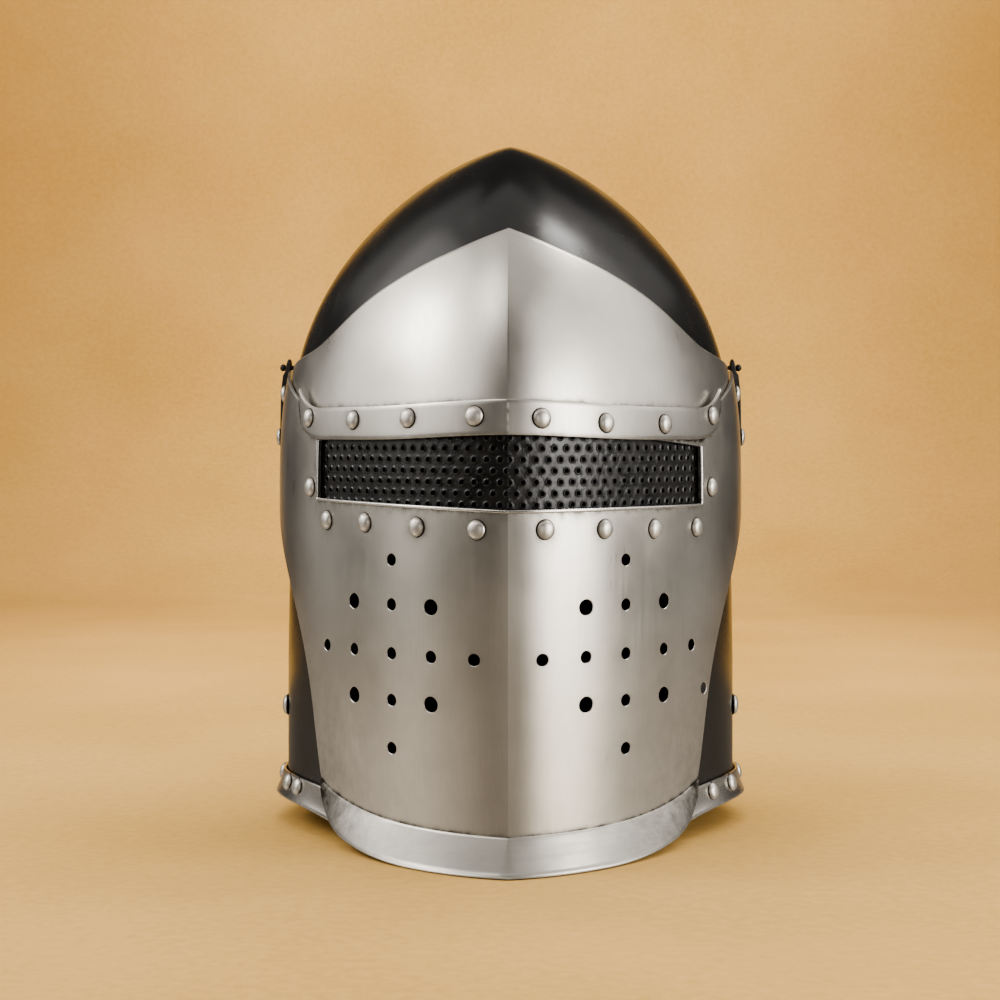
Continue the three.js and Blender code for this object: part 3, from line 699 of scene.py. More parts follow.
def through(at, xs, ys):
    """Smooth curve through the points of a short table."""
    xs, ys = np.array(xs), np.array(ys)
    runs = np.diff(xs)
    slopes = np.diff(ys) / runs
    lean = np.concatenate([[slopes[0]], (slopes[1:] + slopes[:-1]) / 2, [slopes[-1]]])
    place = np.clip(np.searchsorted(xs, at, side="right") - 1, 0, len(runs) - 1)
    share = (np.clip(at, xs[0], xs[-1]) - xs[place]) / runs[place]
    a, b = ys[place], ys[place + 1]
    reach = runs[place] / 3
    return bow(share, a, a + lean[place] * reach, b - lean[place + 1] * reach, b)


def visor_section(z):
    rise = np.clip((z - sight_level_z) / (ear_z - sight_level_z), 0, None)
    drop = np.clip((sight_level_z - z) / (sight_level_z - crease_z), 0, None)
    half_width = visor_half_width - ear_tuck * rise**3 - chin_width_tuck * drop**2
    return half_width, visor_ridge_y + brow_tuck * rise**2 + chin_ridge_tuck * drop**2


def visor_surface(t, z, out=0.0):
    """Outside of the visor at plan position t, signed by side; behind the widest point it runs straight."""
    t, z, out = np.broadcast_arrays(t, z, out)
    half_width, ridge_y = visor_section(z)
    at = np.abs(t)
    x, y = plan_out(np.clip(at, 0, 1), half_width, ridge_y, back_y, out)
    x = np.where(at > 1, half_width + out, x)
    y = np.where(at > 1, crown_y + (at - 1) * ear_run, y)
    return np.stack([np.where(t < 0, -x, x), y, z], -1)


def visor_at(axis, wanted, z):
    """Plan position whose point has the wanted x (axis 0) or y (axis 1) at a height."""
    wanted, z = np.broadcast_arrays(wanted, z)
    low, high = np.zeros(z.shape), np.ones(z.shape)
    for _ in range(40):
        middle = (low + high) / 2
        short = visor_surface(middle, z)[..., axis] < wanted
        low, high = np.where(short, middle, low), np.where(short, high, middle)
    if axis == 1:
        return np.where(wanted > crown_y, 1 + (wanted - crown_y) / ear_run, low)
    return low


def visor_normals(t, z):
    return normals(visor_surface, t, z, level_step)


def mirrored(half):
    """Stations on both sides of the keel, from those on one side."""
    return np.concatenate([-half[:0:-1], half])


def face_rear(v):
    """Rear edge of the plate: up from the lip, swept back to the ear, then round the pivot."""
    z = mix(lip_end_z, pivot_z, np.clip(v / ear_share, 0, 1))
    spring = rear_spring * (1 - np.exp((lip_end_z - z) / rear_spring_z))
    sweep = pivot_y + ear_radius - lip_end_y - rear_spring
    climb = ((z - lip_end_z) / (rear_sweep_top_z - lip_end_z)) ** rear_sweep_power
    y = lip_end_y + spring + sweep * ease(climb)
    angle = (v - ear_share) / (1 - ear_share) * math.pi / 2
    on_ear = v > ear_share
    return (np.where(on_ear, pivot_y + ear_radius * np.cos(angle), y),
            np.where(on_ear, pivot_z + ear_radius * np.sin(angle), z))


rear_shares = np.linspace(0, 1.02, 500)
rear_t = visor_at(1, *face_rear(rear_shares))


def face_surface(w, v):
    """Face plate: w runs -1 to 1 from ear to ear, v -1 to 0 down the lip and 0 to 1 up the plate."""
    above = np.maximum(v, 0)
    at = np.abs(w)
    lift = mix(at**crease_lift_power, ease((at - top_lift_from) / (1 - top_lift_from)), above)
    z = mix(mix(crease_z, face_top_z, above), face_rear(above)[1], lift)
    t = w * np.interp(above, rear_shares, rear_t)
    drop = np.clip(-v, 0, None) * (z - through(at, lip_foot["at"], lip_foot["z"]))
    points = visor_surface(t, z, lip_slope * (1 - lip_settle * at * at) * drop)
    points[..., 2] -= drop
    return points


def sight_z(t, share):
    """Height in the sight, from its bottom edge (share 0) to its top (1); it hangs low on the right."""
    end = np.abs(t) / sight_end
    low = mix(sight_bottom_z, sight_end_bottom_z, end**sill_bend)
    high = mix(sight_top_z, sight_end_top_z, end**head_bend)
    return mix(low, high, share) - sight_tilt * t / sight_end


def sight_knife(wider=0.0):
    ends = sight_end * (1 + wider / sight_half)

    def block(t, share):
        return visor_surface(t, sight_z(t, share) + (2 * share - 1) * wider, sight_knife_out)

    across = np.linspace(-ends, ends, 41)
    return sheet("sight_knife", block, across, [0, 0.5, 1], sight_knife_depth, 0.01, steps=1)


def placed(piece, seats, aims):
    """Copies a turned shape to every seat, in one mesh, and takes the pattern away."""
    points = np.array([v.co for v in piece.data.vertices])
    faces = np.array([list(p.vertices) + [-1] * (4 - len(p.vertices)) for p in piece.data.polygons])
    all_points, all_faces = [], []
    for number, (seat, aim) in enumerate(zip(seats, aims)):
        turn = np.array(Vector(aim).to_track_quat("Z", "Y").to_matrix())
        all_points.append(points @ turn.T + seat)
        shifted = np.where(faces < 0, -1, faces + number * len(points))
        all_faces += [[i for i in face if i >= 0] for face in shifted.tolist()]
    name = piece.name
    bpy.data.objects.remove(piece)
    return new_piece(name, np.concatenate(all_points), all_faces)


def breath_knife(radius, places):
    """Punches with a slight countersink, wider behind, for all the breaths of one size."""
    punch = turned("breath_punch", [
        (0, -punch_depth), (radius + punch_splay * punch_depth, -punch_depth), (radius, -breath_sink),
        (radius + breath_sink + punch_front, punch_front), (0, punch_front)])
    for corner in punch.data.vertices:
        corner.co.x *= breath_broad
    side, x, z = np.array(places).T
    t = side * visor_at(0, x, z)
    return placed(punch, visor_surface(t, z), visor_normals(t, z))


sight_end = float(visor_at(0, sight_half, sight_middle_z))
half_face = np.concatenate([[0, 0.0026], np.linspace(0.012, 0.95, 101), np.linspace(0.956, 1, 9)])
face_columns = mirrored(half_face)
face_rows = np.concatenate([
    np.linspace(-1, -0.03, 10), [-0.008, 0, 0.0012], np.linspace(0.006, 0.78, 112),
    np.linspace(0.78, ear_share, 30)[1:], np.linspace(ear_share, 1, 16)[1:]])
face_plate = sheet("face_plate", face_surface, face_columns, face_rows, visor_plate, 0.002)
breaths = [(side, breath_columns[column], breath_rows[row], abs(row - 2) == 1 and abs(column - 2) == 1)
           for side in (1, -1) for row, columns in breath_cross.items() for column in columns]
breaths.append((1, *lone_breath, False))
corner_knife = breath_knife(breath_corner_radius, [b[:3] for b in breaths if b[3]])
round_knife = breath_knife(breath_radius, [b[:3] for b in breaths if not b[3]])
cut(face_plate, sight_knife(), corner_knife, round_knife)
visor_steel = steel("visor_steel", visor_colour, 0.3, 0.03, 0.75)
finish(face_plate, visor_steel, angle=12)
crease_line = face_surface(np.linspace(-1, 1, 400), np.zeros(400))
sight_run = np.linspace(-sight_end, sight_end, 300)
sill_line = visor_surface(sight_run, sight_z(sight_run, 0))
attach(face_plate, "visor")
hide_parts("visor_face")


# Lip strip: a narrow steel band laid on the turned-out foot of the face plate, from end to end.
# Its upper edge stands proud of the fold, rubbed bright with a painted highlight; dirt and painted shade
# darken the corner above.
lip_plate = 0.0009
lip_proud = 0.0008
lip_foot_proud = 0.0002
lip_middle = -0.5
lip_middle_step = 0.1
# The strip takes a darker copy of the visor steel: painted shade on the up-turned foot, which catches more
# light.
lip_shaded_colour = (0.46, 0.438, 0.4, 1)


def lip_surface(w, v):
    """Outside of the strip: v runs 0 to 1 from its foot up to the fold."""
    w, v = np.broadcast_arrays(w, v)
    square = normals(face_surface, w, np.full(w.shape, lip_middle), lip_middle_step)
    return face_surface(w, v - 1) + mix(lip_foot_proud, lip_proud, v)[..., None] * square


lip_rows = np.concatenate([np.linspace(0.02, 0.9, 10), [0.95, 1]])
lip_strip = sheet("lip_strip", lip_surface, face_columns, lip_rows, lip_plate, 0.02)
finish(lip_strip, steel("lip_steel", lip_shaded_colour, 0.3, 0.02, 0.6, across=14.0, along=900.0))
lip_line = lip_surface(np.linspace(-1, 1, 300), np.full(300, 0.5))
lip_ends = lip_surface(np.repeat([-1.0, 1.0], 5), np.tile(np.linspace(0, 1, 5), 2))
# Its ends are darkened as painted shade; a faint mottled darkening runs along its middle.
stain(lip_strip, (lip_line, 0.008, 0.16), (lip_ends, 0.034, 1.7))
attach(lip_strip, "visor")


# Turned edge of the sight: the plate's own edge, rolled out into a fine bead.
# It runs along the sill and up both ends, and stays bright because hands and cloths rub it first.
bead_radius = 0.0009
bead_out = 0.0001
bead_colour = (0.66, 0.64, 0.6, 1)
jamb_shares = np.linspace(1, 0, 16)


def bead_tree():
    """A round bead along a line of points."""
    tree, given, outlet = new_tree("edge_bead", {
        "Line": "Geometry", "Radius": "Float", "Finish": "Material"})
    line = node(tree, "GeometryNodeMeshToCurve", {0: given["Line"]}).outputs[0]
    ring = node(tree, "GeometryNodeCurvePrimitiveCircle", {"Resolution": 10, "Radius": given["Radius"]})
    bead = node(tree, "GeometryNodeCurveToMesh", {
        "Curve": line, "Profile Curve": ring.outputs[0], "Fill Caps": True}).outputs[0]
    end_tree(tree, bead, given["Finish"], outlet)
    return tree


def jamb(side, out):
    """End of the sight, from its top down."""
    return visor_surface(side * sight_end, sight_z(side * sight_end, jamb_shares), out)


bead_line = np.concatenate([jamb(-1, bead_out), sill_line[1:-1], jamb(1, bead_out)[::-1]])
bead_steps = [(i, i + 1) for i in range(len(bead_line) - 1)]
sight_bead = new_piece("sight_bead", bead_line, [], bead_steps)
bead_steel = steel("bead_steel", bead_colour, 0.24, 0.02, 0.3)
grow(sight_bead, bead_tree(), Radius=bead_radius, Finish=bead_steel)
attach(sight_bead, "visor")


# Brow plate of the visor: a second steel sheet over the front of the skull, keeled like the face plate.
# Its lower edge is tucked behind the face plate, and its upper edge sweeps up to a point on the keel.
brow_plate_wall = 0.0014
brow_bottom_z = 0.2025
brow_rear_t = 0.94
brow_stand_off = {
    "z": [0.202, 0.216, 0.23, 0.26, 0.29],
    "side": [0.00215, 0.0019, 0.0022, 0.003, 0.0036],
    "ridge": [0.0068, 0.0055, 0.0046, 0.0038, 0.0036],
}
brow_edge = {
    "t": [0, 0.1, 0.2, 0.3, 0.4, 0.48, 0.55, 0.6, 0.65, 0.69, 0.74, 0.83, 0.94],
    "z": [0.2875, 0.2833, 0.2783, 0.2728, 0.2658, 0.2589, 0.2513, 0.245,
          0.2394, 0.2358, 0.2333, 0.2305, 0.228],
}


def brow_surface(w, v):
    at = np.abs(w) * brow_rear_t
    z = mix(brow_bottom_z, through(at, brow_edge["t"], brow_edge["z"]), v)
    half_width, front_y, _ = skull_section(z)
    half_width = half_width + through(z, brow_stand_off["z"], brow_stand_off["side"])
    ridge_y = front_y - through(z, brow_stand_off["z"], brow_stand_off["ridge"])
    x, y = half_plan(at, half_width, ridge_y, back_y)
    return np.stack([np.where(w < 0, -x, x), y, z], -1)


half_brow = np.concatenate([[0, 0.003], np.linspace(0.013, 1, 78)])
brow_columns = mirrored(half_brow)
brow_rows = np.concatenate([np.linspace(0, 0.18, 27), np.linspace(0.2, 1, 40)])
brow_plate = sheet("brow_plate", brow_surface, brow_columns, brow_rows, brow_plate_wall, 0.004)
finish(brow_plate, visor_steel)
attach(brow_plate, "visor")
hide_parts("visor_brow")


# Sight strip: a narrow steel band bent over the keel, which covers the joint between the two plates.
# Its ends are cut to upswept horns, and rivets through all the sheets hold it.
band_plate = 0.0015
band_out = band_plate + 0.0005
band_half = 0.1019
band_foot_half = 0.0992
band_turn = 0.825
band_top_z = 0.208
band_side_top_z = 0.2054
band_horn_z = 0.2151
band_bottom_z = 0.1936
band_side_bottom_z = 0.1914
band_corner_z = 0.1992
band_level_share = 0.6
horn_power = 2
strip_shaded_colour = (0.53, 0.505, 0.46, 1)
band_end = float(visor_at(0, band_half, band_top_z))
band_foot_end = float(visor_at(0, band_foot_half, band_bottom_z))


def band_surface(share, v):
    t = share * mix(band_foot_end, band_end, v)
    at = np.abs(share)
    sunk = ease(at / band_level_share)
    sweep = np.clip((at - band_turn) / (1 - band_turn), 0, 1)
    corner = 1 - np.sqrt(1 - sweep**2)
    top = mix(mix(band_top_z, band_side_top_z, sunk), band_horn_z, sweep**horn_power)
    bottom = mix(mix(band_bottom_z, band_side_bottom_z, sunk), band_corner_z, corner)
    return visor_surface(t, mix(bottom, top, v), band_out)


curl_angles = np.radians(np.linspace(0, 90, 26))
half_band = np.concatenate([[0, 0.003], np.linspace(0.013, band_turn, 70)[:-1],
                            mix(band_turn, 1, np.sin(curl_angles))])
band_columns = mirrored(half_band)
sight_strip = sheet("sight_strip", band_surface, band_columns, np.linspace(0, 1, 10), band_plate, 0.02)
# The strip takes a darker copy of the visor steel: painted shade against the brighter light on its tilt.
finish(sight_strip, steel("strip_steel", strip_shaded_colour, 0.3, 0.03, 0.75))
band_run = np.linspace(-1, 1, 400)
# The brow just above the strip's top edge, picked as seen from the front, is darkened: painted shadow of
# the gap, with some dirt.
brow_grid = np.meshgrid(np.linspace(-1, 1, 900), np.linspace(0, 0.6, 60))
brow_spots = brow_surface(*brow_grid).reshape(-1, 3)
band_edge = band_surface(band_run, np.ones(400))
brow_gap_shade = [brow_spots[np.argmin((brow_spots - place) ** 2 @ (1, 0, 1))] for place in band_edge]
stain(brow_plate, (brow_gap_shade, 0.0011, 1.8))
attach(sight_strip, "visor")
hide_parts("sight_band")


# Sight screen: a thin black sheet behind the sight, punched from the back in staggered rows.
# Every hole keeps the raised burr of the punch; a plain margin carries the rivets.
screen_out = -0.0026
margin_out = screen_out + 0.0001
screen_half = 0.098
screen_end_slack = 0.002
screen_end_z = sight_level_z + 0.012
screen_top_z = 0.199
screen_bottom_z = 0.1465
screen_middle_z = 0.177
margin_wall = 0.0014
margin_knife_wider = 0.0012
hole_pitch = 0.0063
hole_row_pitch = 0.005
hole_columns = 40
hole_rows = 7
hole_radius = 0.00112
burr_radius = 0.0019
burr_rise = 0.00045
screen_wall = 0.001
screen_dark = (0.002, 0.002, 0.002, 1)
screen_worn = (0.006, 0.0057, 0.0053, 1)


def screen_tile():
    """One hole with its burr in a cell of the sheet, front and back."""
    sides = 12
    x, y = hole_pitch / 2, hole_row_pitch / 2
    cell = np.array([(x, 0), (x, y), (x / 2, y), (0, y), (-x / 2, y), (-x, y), (-x, 0), (-x, -y),
                     (-x / 2, -y), (0, -y), (x / 2, -y), (x, -y)])
    burr = [(burr_radius * 1.1, 0.0), (burr_radius, 0.08), (mix(hole_radius, burr_radius, 0.5), 0.8),
            (hole_radius * 1.15, 1.0), (hole_radius, 0.7)]
    rings = [(cell, 0.0)] + [(spokes(sides) * radius, burr_rise * rise) for radius, rise in burr]
    rings += [(spokes(sides) * hole_radius, -screen_wall), (cell, -screen_wall)]
    points = np.concatenate([np.column_stack([flat, np.full(sides, height)]) for flat, height in rings])
    return new_piece("screen_tile", points, hoops(len(rings), sides))


def screen_tree():
    """Cells in rows, every other row moved half a cell along."""
    tree, given, outlet = new_tree("punched_sheet", {
        "Bed": "Geometry", "Cell": "Object", "Columns": "Int", "Rows": "Int", "Pitch": "Float",
        "Row Pitch": "Float", "Finish": "Material"})
    wide = sums(tree, "MULTIPLY", sums(tree, "SUBTRACT", given["Columns"], 1.0), given["Pitch"])
    tall = sums(tree, "MULTIPLY", sums(tree, "SUBTRACT", given["Rows"], 1.0), given["Row Pitch"])
    beds = node(tree, "GeometryNodeMeshGrid", {
        "Size X": wide, "Size Y": tall, "Vertices X": given["Columns"], "Vertices Y": given["Rows"]})
    place = node(tree, "ShaderNodeSeparateXYZ", {0: node(tree, "GeometryNodeInputPosition").outputs[0]})
    from_low = sums(tree, "ADD", place.outputs[1], sums(tree, "DIVIDE", tall, 2.0))
    row = node(tree, "ShaderNodeMath", {
        0: sums(tree, "DIVIDE", from_low, given["Row Pitch"])}, operation="ROUND").outputs[0]
    odd = sums(tree, "SUBTRACT", sums(tree, "MODULO", row, 2.0), 0.5)
    shift = sums(tree, "MULTIPLY", odd, sums(tree, "MULTIPLY", given["Pitch"], 0.5))
    moved = node(tree, "GeometryNodeSetPosition", {
        "Geometry": beds.outputs[0], "Offset": node(tree, "ShaderNodeCombineXYZ", {0: shift}).outputs[0]})
    cell = node(tree, "GeometryNodeObjectInfo", {"Object": given["Cell"]}).outputs["Geometry"]
    laid = node(tree, "GeometryNodeInstanceOnPoints", {"Points": moved.outputs[0], "Instance": cell})
    real = node(tree, "GeometryNodeRealizeInstances", {0: laid.outputs[0]}).outputs[0]
    joined = node(tree, "GeometryNodeMergeByDistance", {"Geometry": real, "Distance": 0.00001}).outputs[0]
    end_tree(tree, joined, given["Finish"], outlet)
    return tree


def black_iron(name, fine, cloud, dark, worn, gloss, relief, metal):
    """Blackened iron with a fine grain and worn clouds; gloss and relief are two values each."""
    material, tree, shader = new_material(name)
    grain = group(tree, brushed_grain, Across=fine, Along=fine, Cloud=cloud)
    tone = blend(tree, span(tree, grain["Clouds"], 0, 1, 0.35, 0.7), dark, worn)
    dress(tree, shader, tone, span(tree, grain["Clouds"], *gloss, 0.3, 0.7), grain["Streaks"], *relief)
    shader.inputs["Metallic"].default_value = metal
    return material


def screen_surface(t, v):
    return visor_surface(t, mix(screen_bottom_z, screen_top_z, v), margin_out)


screen_finish = black_iron(
    "black_screen", 520.0, 90.0, screen_dark, screen_worn, (0.22, 0.42), (0.6, 0.0004), 0.0)
tile = screen_tile()
sight_screen = new_piece("sight_screen", [(0, 0, 0)], [])
grow(sight_screen, screen_tree(), Cell=tile, Columns=hole_columns, Rows=hole_rows, Pitch=hole_pitch,
     Row_Pitch=hole_row_pitch, Finish=screen_finish)
bpy.data.objects.remove(tile)
screen_end = float(visor_at(0, screen_half, screen_end_z))
walk_t = np.linspace(0, screen_end, 600)
walk_points = visor_surface(walk_t, screen_middle_z, screen_out)
walked = np.concatenate([[0], np.cumsum(np.linalg.norm(np.diff(walk_points, axis=0), axis=1))])
flat_points = np.empty(len(sight_screen.data.vertices) * 3)
sight_screen.data.vertices.foreach_get("co", flat_points)
flat_points = flat_points.reshape(-1, 3)
from_keel = np.clip(np.abs(flat_points[:, 0]), 0, walked[-1] - screen_end_slack)
screen_t = np.sign(flat_points[:, 0]) * np.interp(from_keel, walked, walk_t)
bent = visor_surface(screen_t, screen_middle_z + flat_points[:, 1], screen_out + flat_points[:, 2])
sight_screen.data.vertices.foreach_set("co", bent.ravel())
sight_screen.data.update()
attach(sight_screen, "visor")
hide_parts("sight_plate")

screen_margin = sheet("screen_margin", screen_surface, np.linspace(-screen_end, screen_end, 81),
                      np.linspace(0, 1, 6), margin_wall, 0.01)
cut(screen_margin, sight_knife(margin_knife_wider))
finish(screen_margin, screen_finish)
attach(screen_margin, "visor")


# Rivets of the visor: eight through the sight strip, eight along the sill, one at each end of the sight.
# Their polished heads stand on the plates; two more are the pivots, on which the visor lifts.
strip_rivets = [
    (0.0139, 0.2003), (0.0425, 0.1983), (0.0705, 0.198), (0.0956, 0.2024),
    (-0.0139, 0.2012), (-0.0439, 0.2005), (-0.0706, 0.1999), (-0.0944, 0.2012),
]
plate_rivets = [
    (0.0164, 0.1512), (0.0432, 0.1507), (0.067, 0.1497), (0.0886, 0.1493), (0.0969, 0.168),
    (-0.0138, 0.1512), (-0.0411, 0.1516), (-0.0662, 0.1526), (-0.086, 0.1527), (-0.0953, 0.168),
]
pivot_head_out = 0.0004
end_shade_shift = 0.022


def visor_seats(places, out):
    x, z = np.array(places).T
    t = np.sign(x) * visor_at(0, np.abs(x), z)
    return visor_surface(t, z, out), visor_normals(t, z)


plate_seats, plate_aims = visor_seats(plate_rivets, 0.0)
strip_seats, strip_aims = visor_seats(strip_rivets, band_out)
pivot_places = [(side * visor_half_width, pivot_y, pivot_z) for side in (1, -1)]
jamb_lines = np.concatenate([jamb(-1, 0.0), jamb(1, 0.0)])
strip_foot = band_surface(band_run, np.zeros(400))
strip_ends = [band_surface(np.full(24, side), np.linspace(0, 1, 24)) for side in (-1.0, 1.0)]
strip_keel = band_surface(0, jamb_shares)
# Painted shadow: a dark line on the plate under the strip's lower edge, and dark patches moved out past
# both ends of the strip.
seam_line = np.concatenate([strip_foot, *strip_ends])
seam_t = visor_at(1, seam_line[:, 1], seam_line[:, 2])
seam_t[len(strip_foot):] += end_shade_shift
strip_painted_shadow = visor_surface(np.sign(seam_line[:, 0]) * seam_t, seam_line[:, 2])
stain(sight_strip, (strip_seats, 0.0022, 3.0), (strip_foot, 0.0012, 0.5), (strip_keel, 0.0005, 1.0))
# Face plate darkening: dirt and painted shade in the fold above the lip, painted shade towards the lip's
# ends, darker rims round the sight, rivets and pivots.
stain(face_plate, (crease_line, 0.0009, 4.0), (sill_line, 0.0025, 1.3), (jamb_lines, 0.003, 1.2),
      (lip_ends, 0.04, 0.4), (plate_seats, 0.0028, 3.2), (pivot_places, 0.003, 3.0),
      (strip_painted_shadow, 0.0028, 2.4))
visor_rivets = rivets("visor_rivets", np.concatenate([strip_seats, plate_seats]),
                      np.concatenate([strip_aims, plate_aims]), rivet_radius, rivet_height)
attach(visor_rivets, "visor")
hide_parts(*[f"{row}_rivet_{side}_{n + 1}" for row in ("band", "sill")
                            for side in ("right", "left") for n in range(4)],
            "jamb_rivet_right", "jamb_rivet_left")

ear_x = float(visor_surface(1.0, pivot_z)[0])
pivot_heads = rivet_pair(
    "pivot_heads", ear_x + pivot_head_out, pivot_y, pivot_z, rivet_radius, rivet_height)
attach(pivot_heads, "visor")
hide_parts("pivot_rivet_right", "pivot_rivet_left")


# Latches: a black spring bar behind each pivot, riveted to the ear and drawn out to a thumb tip.
# A ball-headed stud in the bar drops into the skull to hold the visor down.
latch_y = pivot_y + 0.0083
latch_width = 0.007
latch_clear = 0.0003
latch_rounding = 0.0005
latch_rivet_z = 0.192
latch_rivet_radius = 0.0046
latch_rivet_height = 0.0022
latch_dark = (0.012, 0.012, 0.012, 1)
latch_worn = (0.045, 0.042, 0.04, 1)
latch_edge = [
    (0.1187, 0.187), (0.1187, 0.2), (0.1184, 0.215), (0.1174, 0.2236), (0.116, 0.2262),
    (0.1156, 0.2292), (0.115, 0.2312), (0.1142, 0.2324), (0.1134, 0.2314), (0.113, 0.229),
]
stud_z = 0.2277
stud_from_x = 0.1119
stud_ball_x = 0.1175
stud_ball = [(0.0016, -0.0009), (0.0019, 0), (0.0016, 0.0009), (0.0009, 0.0015), (0, 0.0017)]
stud_neck = 0.0011
stud_neck_end = -0.0014

latch_finish = black_iron(
    "latch_iron", 600.0, 120.0, latch_dark, latch_worn, (0.32, 0.5), (0.3, 0.0003), 0.4)
ear_levels = np.array([0.223, 0.218, 0.21, 0.2, latch_edge[0][1]])
ear_line = visor_surface(visor_at(1, latch_y, ear_levels), ear_levels, latch_clear)
bar_outline = latch_edge + [(x, z) for x, _, z in ear_line.tolist()]
stud_profile = [(0, stud_from_x), (stud_neck, stud_from_x)]
stud_profile += [(r, stud_ball_x + x) for r, x in [(stud_neck, stud_neck_end)] + stud_ball]
for side, tag in ((1, "right"), (-1, "left")):
    bar = extruded(f"spring_bar_{tag}", [(side * x, z) for x, z in bar_outline][::side],
                   latch_y - latch_width / 2, latch_y + latch_width / 2)
    rounding = bar.modifiers.new("rounding", "BEVEL")
    rounding.width = latch_rounding
    rounding.segments = 3
    settle(bar)
    finish(bar, latch_finish)
    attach(bar, "visor")
    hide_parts(f"latch_spring_{tag}")
    stud = placed(turned("stud_" + tag, stud_profile), [(0, latch_y, stud_z)], [(side, 0, 0)])
    finish(stud, latch_finish)
    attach(stud, "visor")
    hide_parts(f"latch_stud_{tag}")

latch_rivets = rivet_pair("latch_rivets", latch_edge[0][0], latch_y, latch_rivet_z,
                          latch_rivet_radius, latch_rivet_height)
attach(latch_rivets, "visor")
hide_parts("latch_rivet_right", "latch_rivet_left")
bpy.data.objects.remove(rivet_head)


# Floor: a round warm bowl, its rim turned up into a wall that shows behind the helmet from every side.
# The steel mirrors cards in its place: a grey one on the floor in front, a warm one bent up behind.
bowl_sides = 96
bowl_y = -0.5
bowl_radius = 2.5
bowl_bend = 0.6
bowl_height = 2.6
card_half = 0.75
card_front_y = -2.2
card_meet_y = 0.5
card_back_y = 1.0
card_bend = 0.6
card_height = 0.95
card_lift = 0.0004
card_grey = (0.46, 0.41, 0.34, 1)
floor_dark = (0.63, 0.39, 0.115, 1)
floor_light = (0.75, 0.49, 0.17, 1)
floor_side_shade = (0.3, 0.15, 0.04, 1)


def warm_floor():
    material, tree, shader = new_material("warm_floor")
    broad = group(tree, brushed_grain, Across=30.0, Along=30.0, Cloud=4.0)
    fine = group(tree, brushed_grain, Across=30.0, Along=30.0, Cloud=170.0)
    mottle = sums(tree, "ADD", broad["Clouds"], sums(tree, "MULTIPLY", fine["Clouds"], 0.8))
    tone = blend(tree, span(tree, mottle, 0, 1, 0.65, 1.15), floor_dark, floor_light)
    across = node(tree, "ShaderNodeSeparateXYZ", {0: node(tree, "ShaderNodeTexCoord").outputs["Object"]})
    # Painted shade: the floor and wall darken towards the sides.
    aside = sums(tree, "ABSOLUTE", across.outputs["X"], 0.0)
    shade = sums(tree, "MULTIPLY", span(tree, aside, 0.0, 1.0, 0.3, 1.0), 0.75)
    tree.links.new(blend(tree, shade, tone, floor_side_shade), shader.inputs["Base Color"])
    shader.inputs["Roughness"].default_value = 0.8
    return material


def grey_card():
    material, _, shader = new_material("grey_card")
    shader.inputs["Base Color"].default_value = card_grey
    shader.inputs["Metallic"].default_value = 0.6
    shader.inputs["Roughness"].default_value = 0.32
    return material


def swept(name, profile, half, material):
    """Sheet that keeps one outline in Y and Z from side to side, and is seen only in reflections."""
    count = len(profile)
    points = [(x, y, z) for x in (-half, half) for y, z in profile]
    piece = new_piece(name, points, [(i, i + count, i + count + 1, i + 1) for i in range(count - 1)])
    piece.data.shade_smooth()
    piece.data.materials.append(material)
    piece.visible_camera = False
    piece.visible_diffuse = False
    piece.visible_shadow = False


bend = np.radians(np.linspace(0, 90, 13))
floor_finish = warm_floor()
wall_foot = bowl_radius - bowl_bend
bowl_profile = np.concatenate([
    np.column_stack([np.linspace(0.02, wall_foot, 12)[:-1], np.zeros(11)]),
    np.stack([wall_foot + bowl_bend * np.sin(bend), bowl_bend * (1 - np.cos(bend))], -1),
    [[bowl_radius, bowl_height]]])
bowl_points = np.concatenate([
    np.column_stack([r * spokes(bowl_sides), np.full(bowl_sides, z)]) for r, z in bowl_profile])
bowl_faces = [list(range(bowl_sides))]
bowl_faces += [face[::-1] for face in hoops(len(bowl_profile), bowl_sides)]
floor = new_piece("floor", bowl_points + [0, bowl_y, 0], bowl_faces)
floor.data.shade_smooth()
floor.data.materials.append(floor_finish)
floor.visible_glossy = False
swept("front_card", [(card_front_y, card_lift), (card_meet_y, card_lift)], card_half, grey_card())
swept("rear_card", np.concatenate([
    [[card_meet_y, card_lift]],
    np.stack([card_back_y + card_bend * np.sin(bend), card_lift + card_bend * (1 - np.cos(bend))], -1),
    [[card_back_y + card_bend, card_height]]]), card_half, floor_finish)


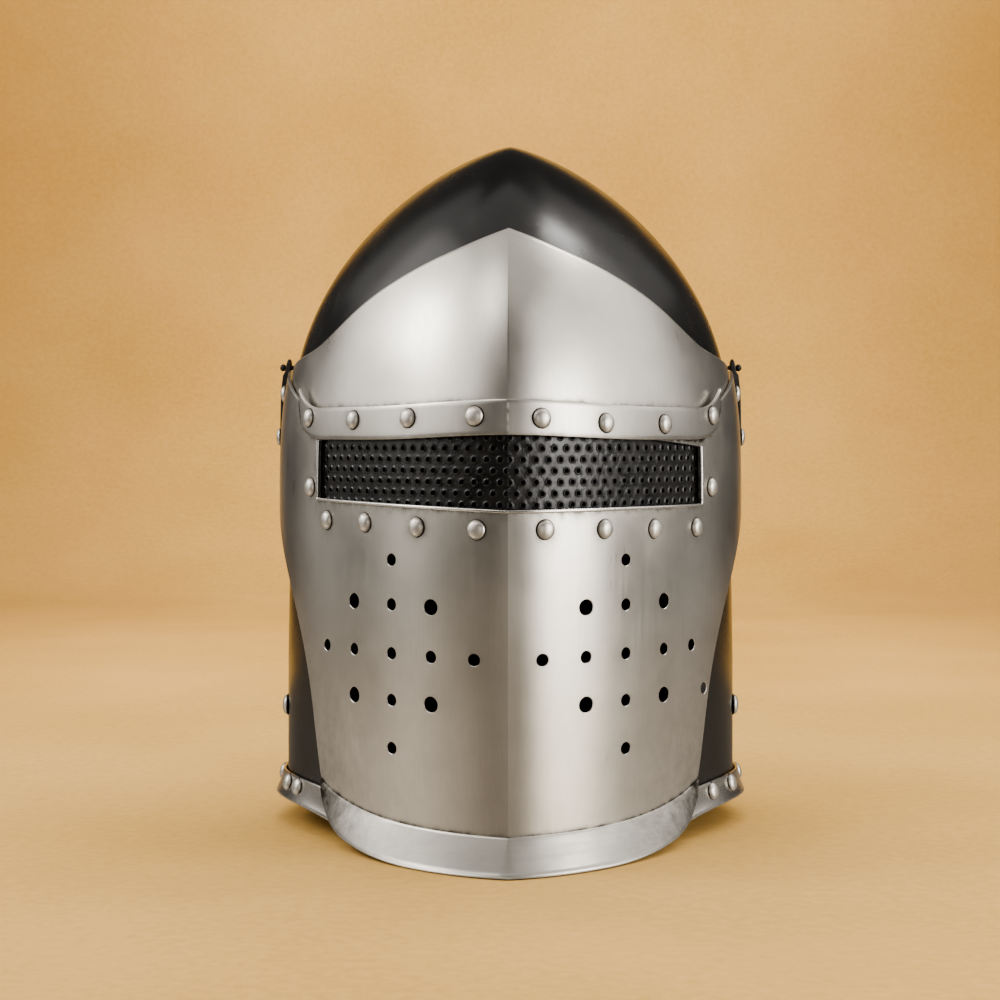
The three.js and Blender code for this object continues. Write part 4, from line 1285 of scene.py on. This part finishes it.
# Lights: soft boxes in a tent round the helmet, which the steel mirrors, and two lamps that wash the wall.
# The larger ones give the long sheens, and the small ones the bright patches on brow, keel and lip.
helmet_middle = (0, -0.06, 0.2)
light_colour = (1, 0.97, 0.93)
sky_colour = (0.9, 0.86, 0.8, 1)
sky_strength = 0.08
soft_lights = [
    {"name": "overhead", "place": (0, -0.22, 1.3), "size": (1.6, 1.3), "power": 4.2},
    {"name": "left_tent", "place": (-1.02, -0.12, 0.72), "size": (1.3, 1.0), "power": 6.1},
    {"name": "left_key", "place": (-0.86, -0.09, 0.67), "size": (0.26, 0.26), "power": 2.0},
    {"name": "left_low", "place": (-1.09, -0.17, 0.24), "size": (0.3, 0.45), "power": 0.47},
    {"name": "ridge_light", "place": (-0.6, -0.51, 1.02), "size": (0.3, 0.3), "power": 0.85},
    {"name": "right_tent", "place": (1.04, -0.17, 0.69), "size": (1.2, 0.9), "power": 4.4},
    {"name": "right_key", "place": (0.99, -0.53, 0.31), "size": (0.5, 0.6), "power": 7.5},
    {"name": "lip_light", "place": (0.78, 0.2, 1.2), "size": (0.2, 0.28), "power": 2.3},
    {"name": "left_back", "place": (-1.0, 0.42, 0.18), "size": (0.3, 0.45), "power": 0.13},
    {"name": "right_back", "place": (1.0, 0.38, 0.18), "size": (0.3, 0.45), "power": 0.12},
    {"name": "left_wing", "place": (-0.96, 0.44, 1.1), "size": (0.9, 0.8), "power": 1.1},
    {"name": "right_wing", "place": (0.96, 0.44, 1.1), "size": (0.9, 0.8), "power": 1.1},
    {"name": "front", "place": (0, -1.7, 0.45), "size": (0.5, 0.7), "power": 1.8},
    {"name": "front_fill", "place": (0, -1.9, 0.4), "size": (2.6, 0.8), "power": 2.4},
]
wall_washes = [
    {"name": "rear_wash", "place": (0, 0.75, 1.7), "size": (1.8, 0.5), "power": 32,
     "aim": (0, 1.5, 0.3)},
    {"name": "front_wash", "place": (0, -1.9, 1.7), "size": (1.8, 0.5), "power": 24,
     "aim": (0, -2.65, 0.3)},
]
for light in soft_lights + wall_washes:
    lamp = bpy.data.lights.new(light["name"], "AREA")
    lamp.shape = "RECTANGLE"
    lamp.size, lamp.size_y = light["size"]
    lamp.energy = light["power"]
    lamp.color = light_colour
    holder = bpy.data.objects.new(light["name"], lamp)
    holder.location = light["place"]
    holder.visible_glossy = light in soft_lights
    sight_line = Vector(light.get("aim", helmet_middle)) - holder.location
    holder.rotation_euler = sight_line.to_track_quat("-Z", "Y").to_euler()
    holder.visible_camera = False
    bpy.context.scene.collection.objects.link(holder)
world = bpy.data.worlds.new("studio")
world.use_nodes = True
sky = world.node_tree.nodes["Background"]
sky.inputs["Color"].default_value = sky_colour
sky.inputs["Strength"].default_value = sky_strength
bpy.context.scene.world = world
bpy.context.scene.view_settings.look = "AgX - Medium High Contrast"


# Camera: level with the sight and a little over a metre in front.
# Its picture is shifted to the framing of the photograph.
camera = bpy.data.objects.new("camera", bpy.data.cameras.new("camera"))
camera.data.sensor_width = 36
camera.data.lens = 74.05
camera.data.shift_x = -0.0263
camera.data.shift_y = -0.063
camera.location = (0.008, crown_y - 1.049, 0.192)
camera.rotation_euler = (math.radians(90), 0, 0)
bpy.context.scene.collection.objects.link(camera)
bpy.context.scene.camera = camera
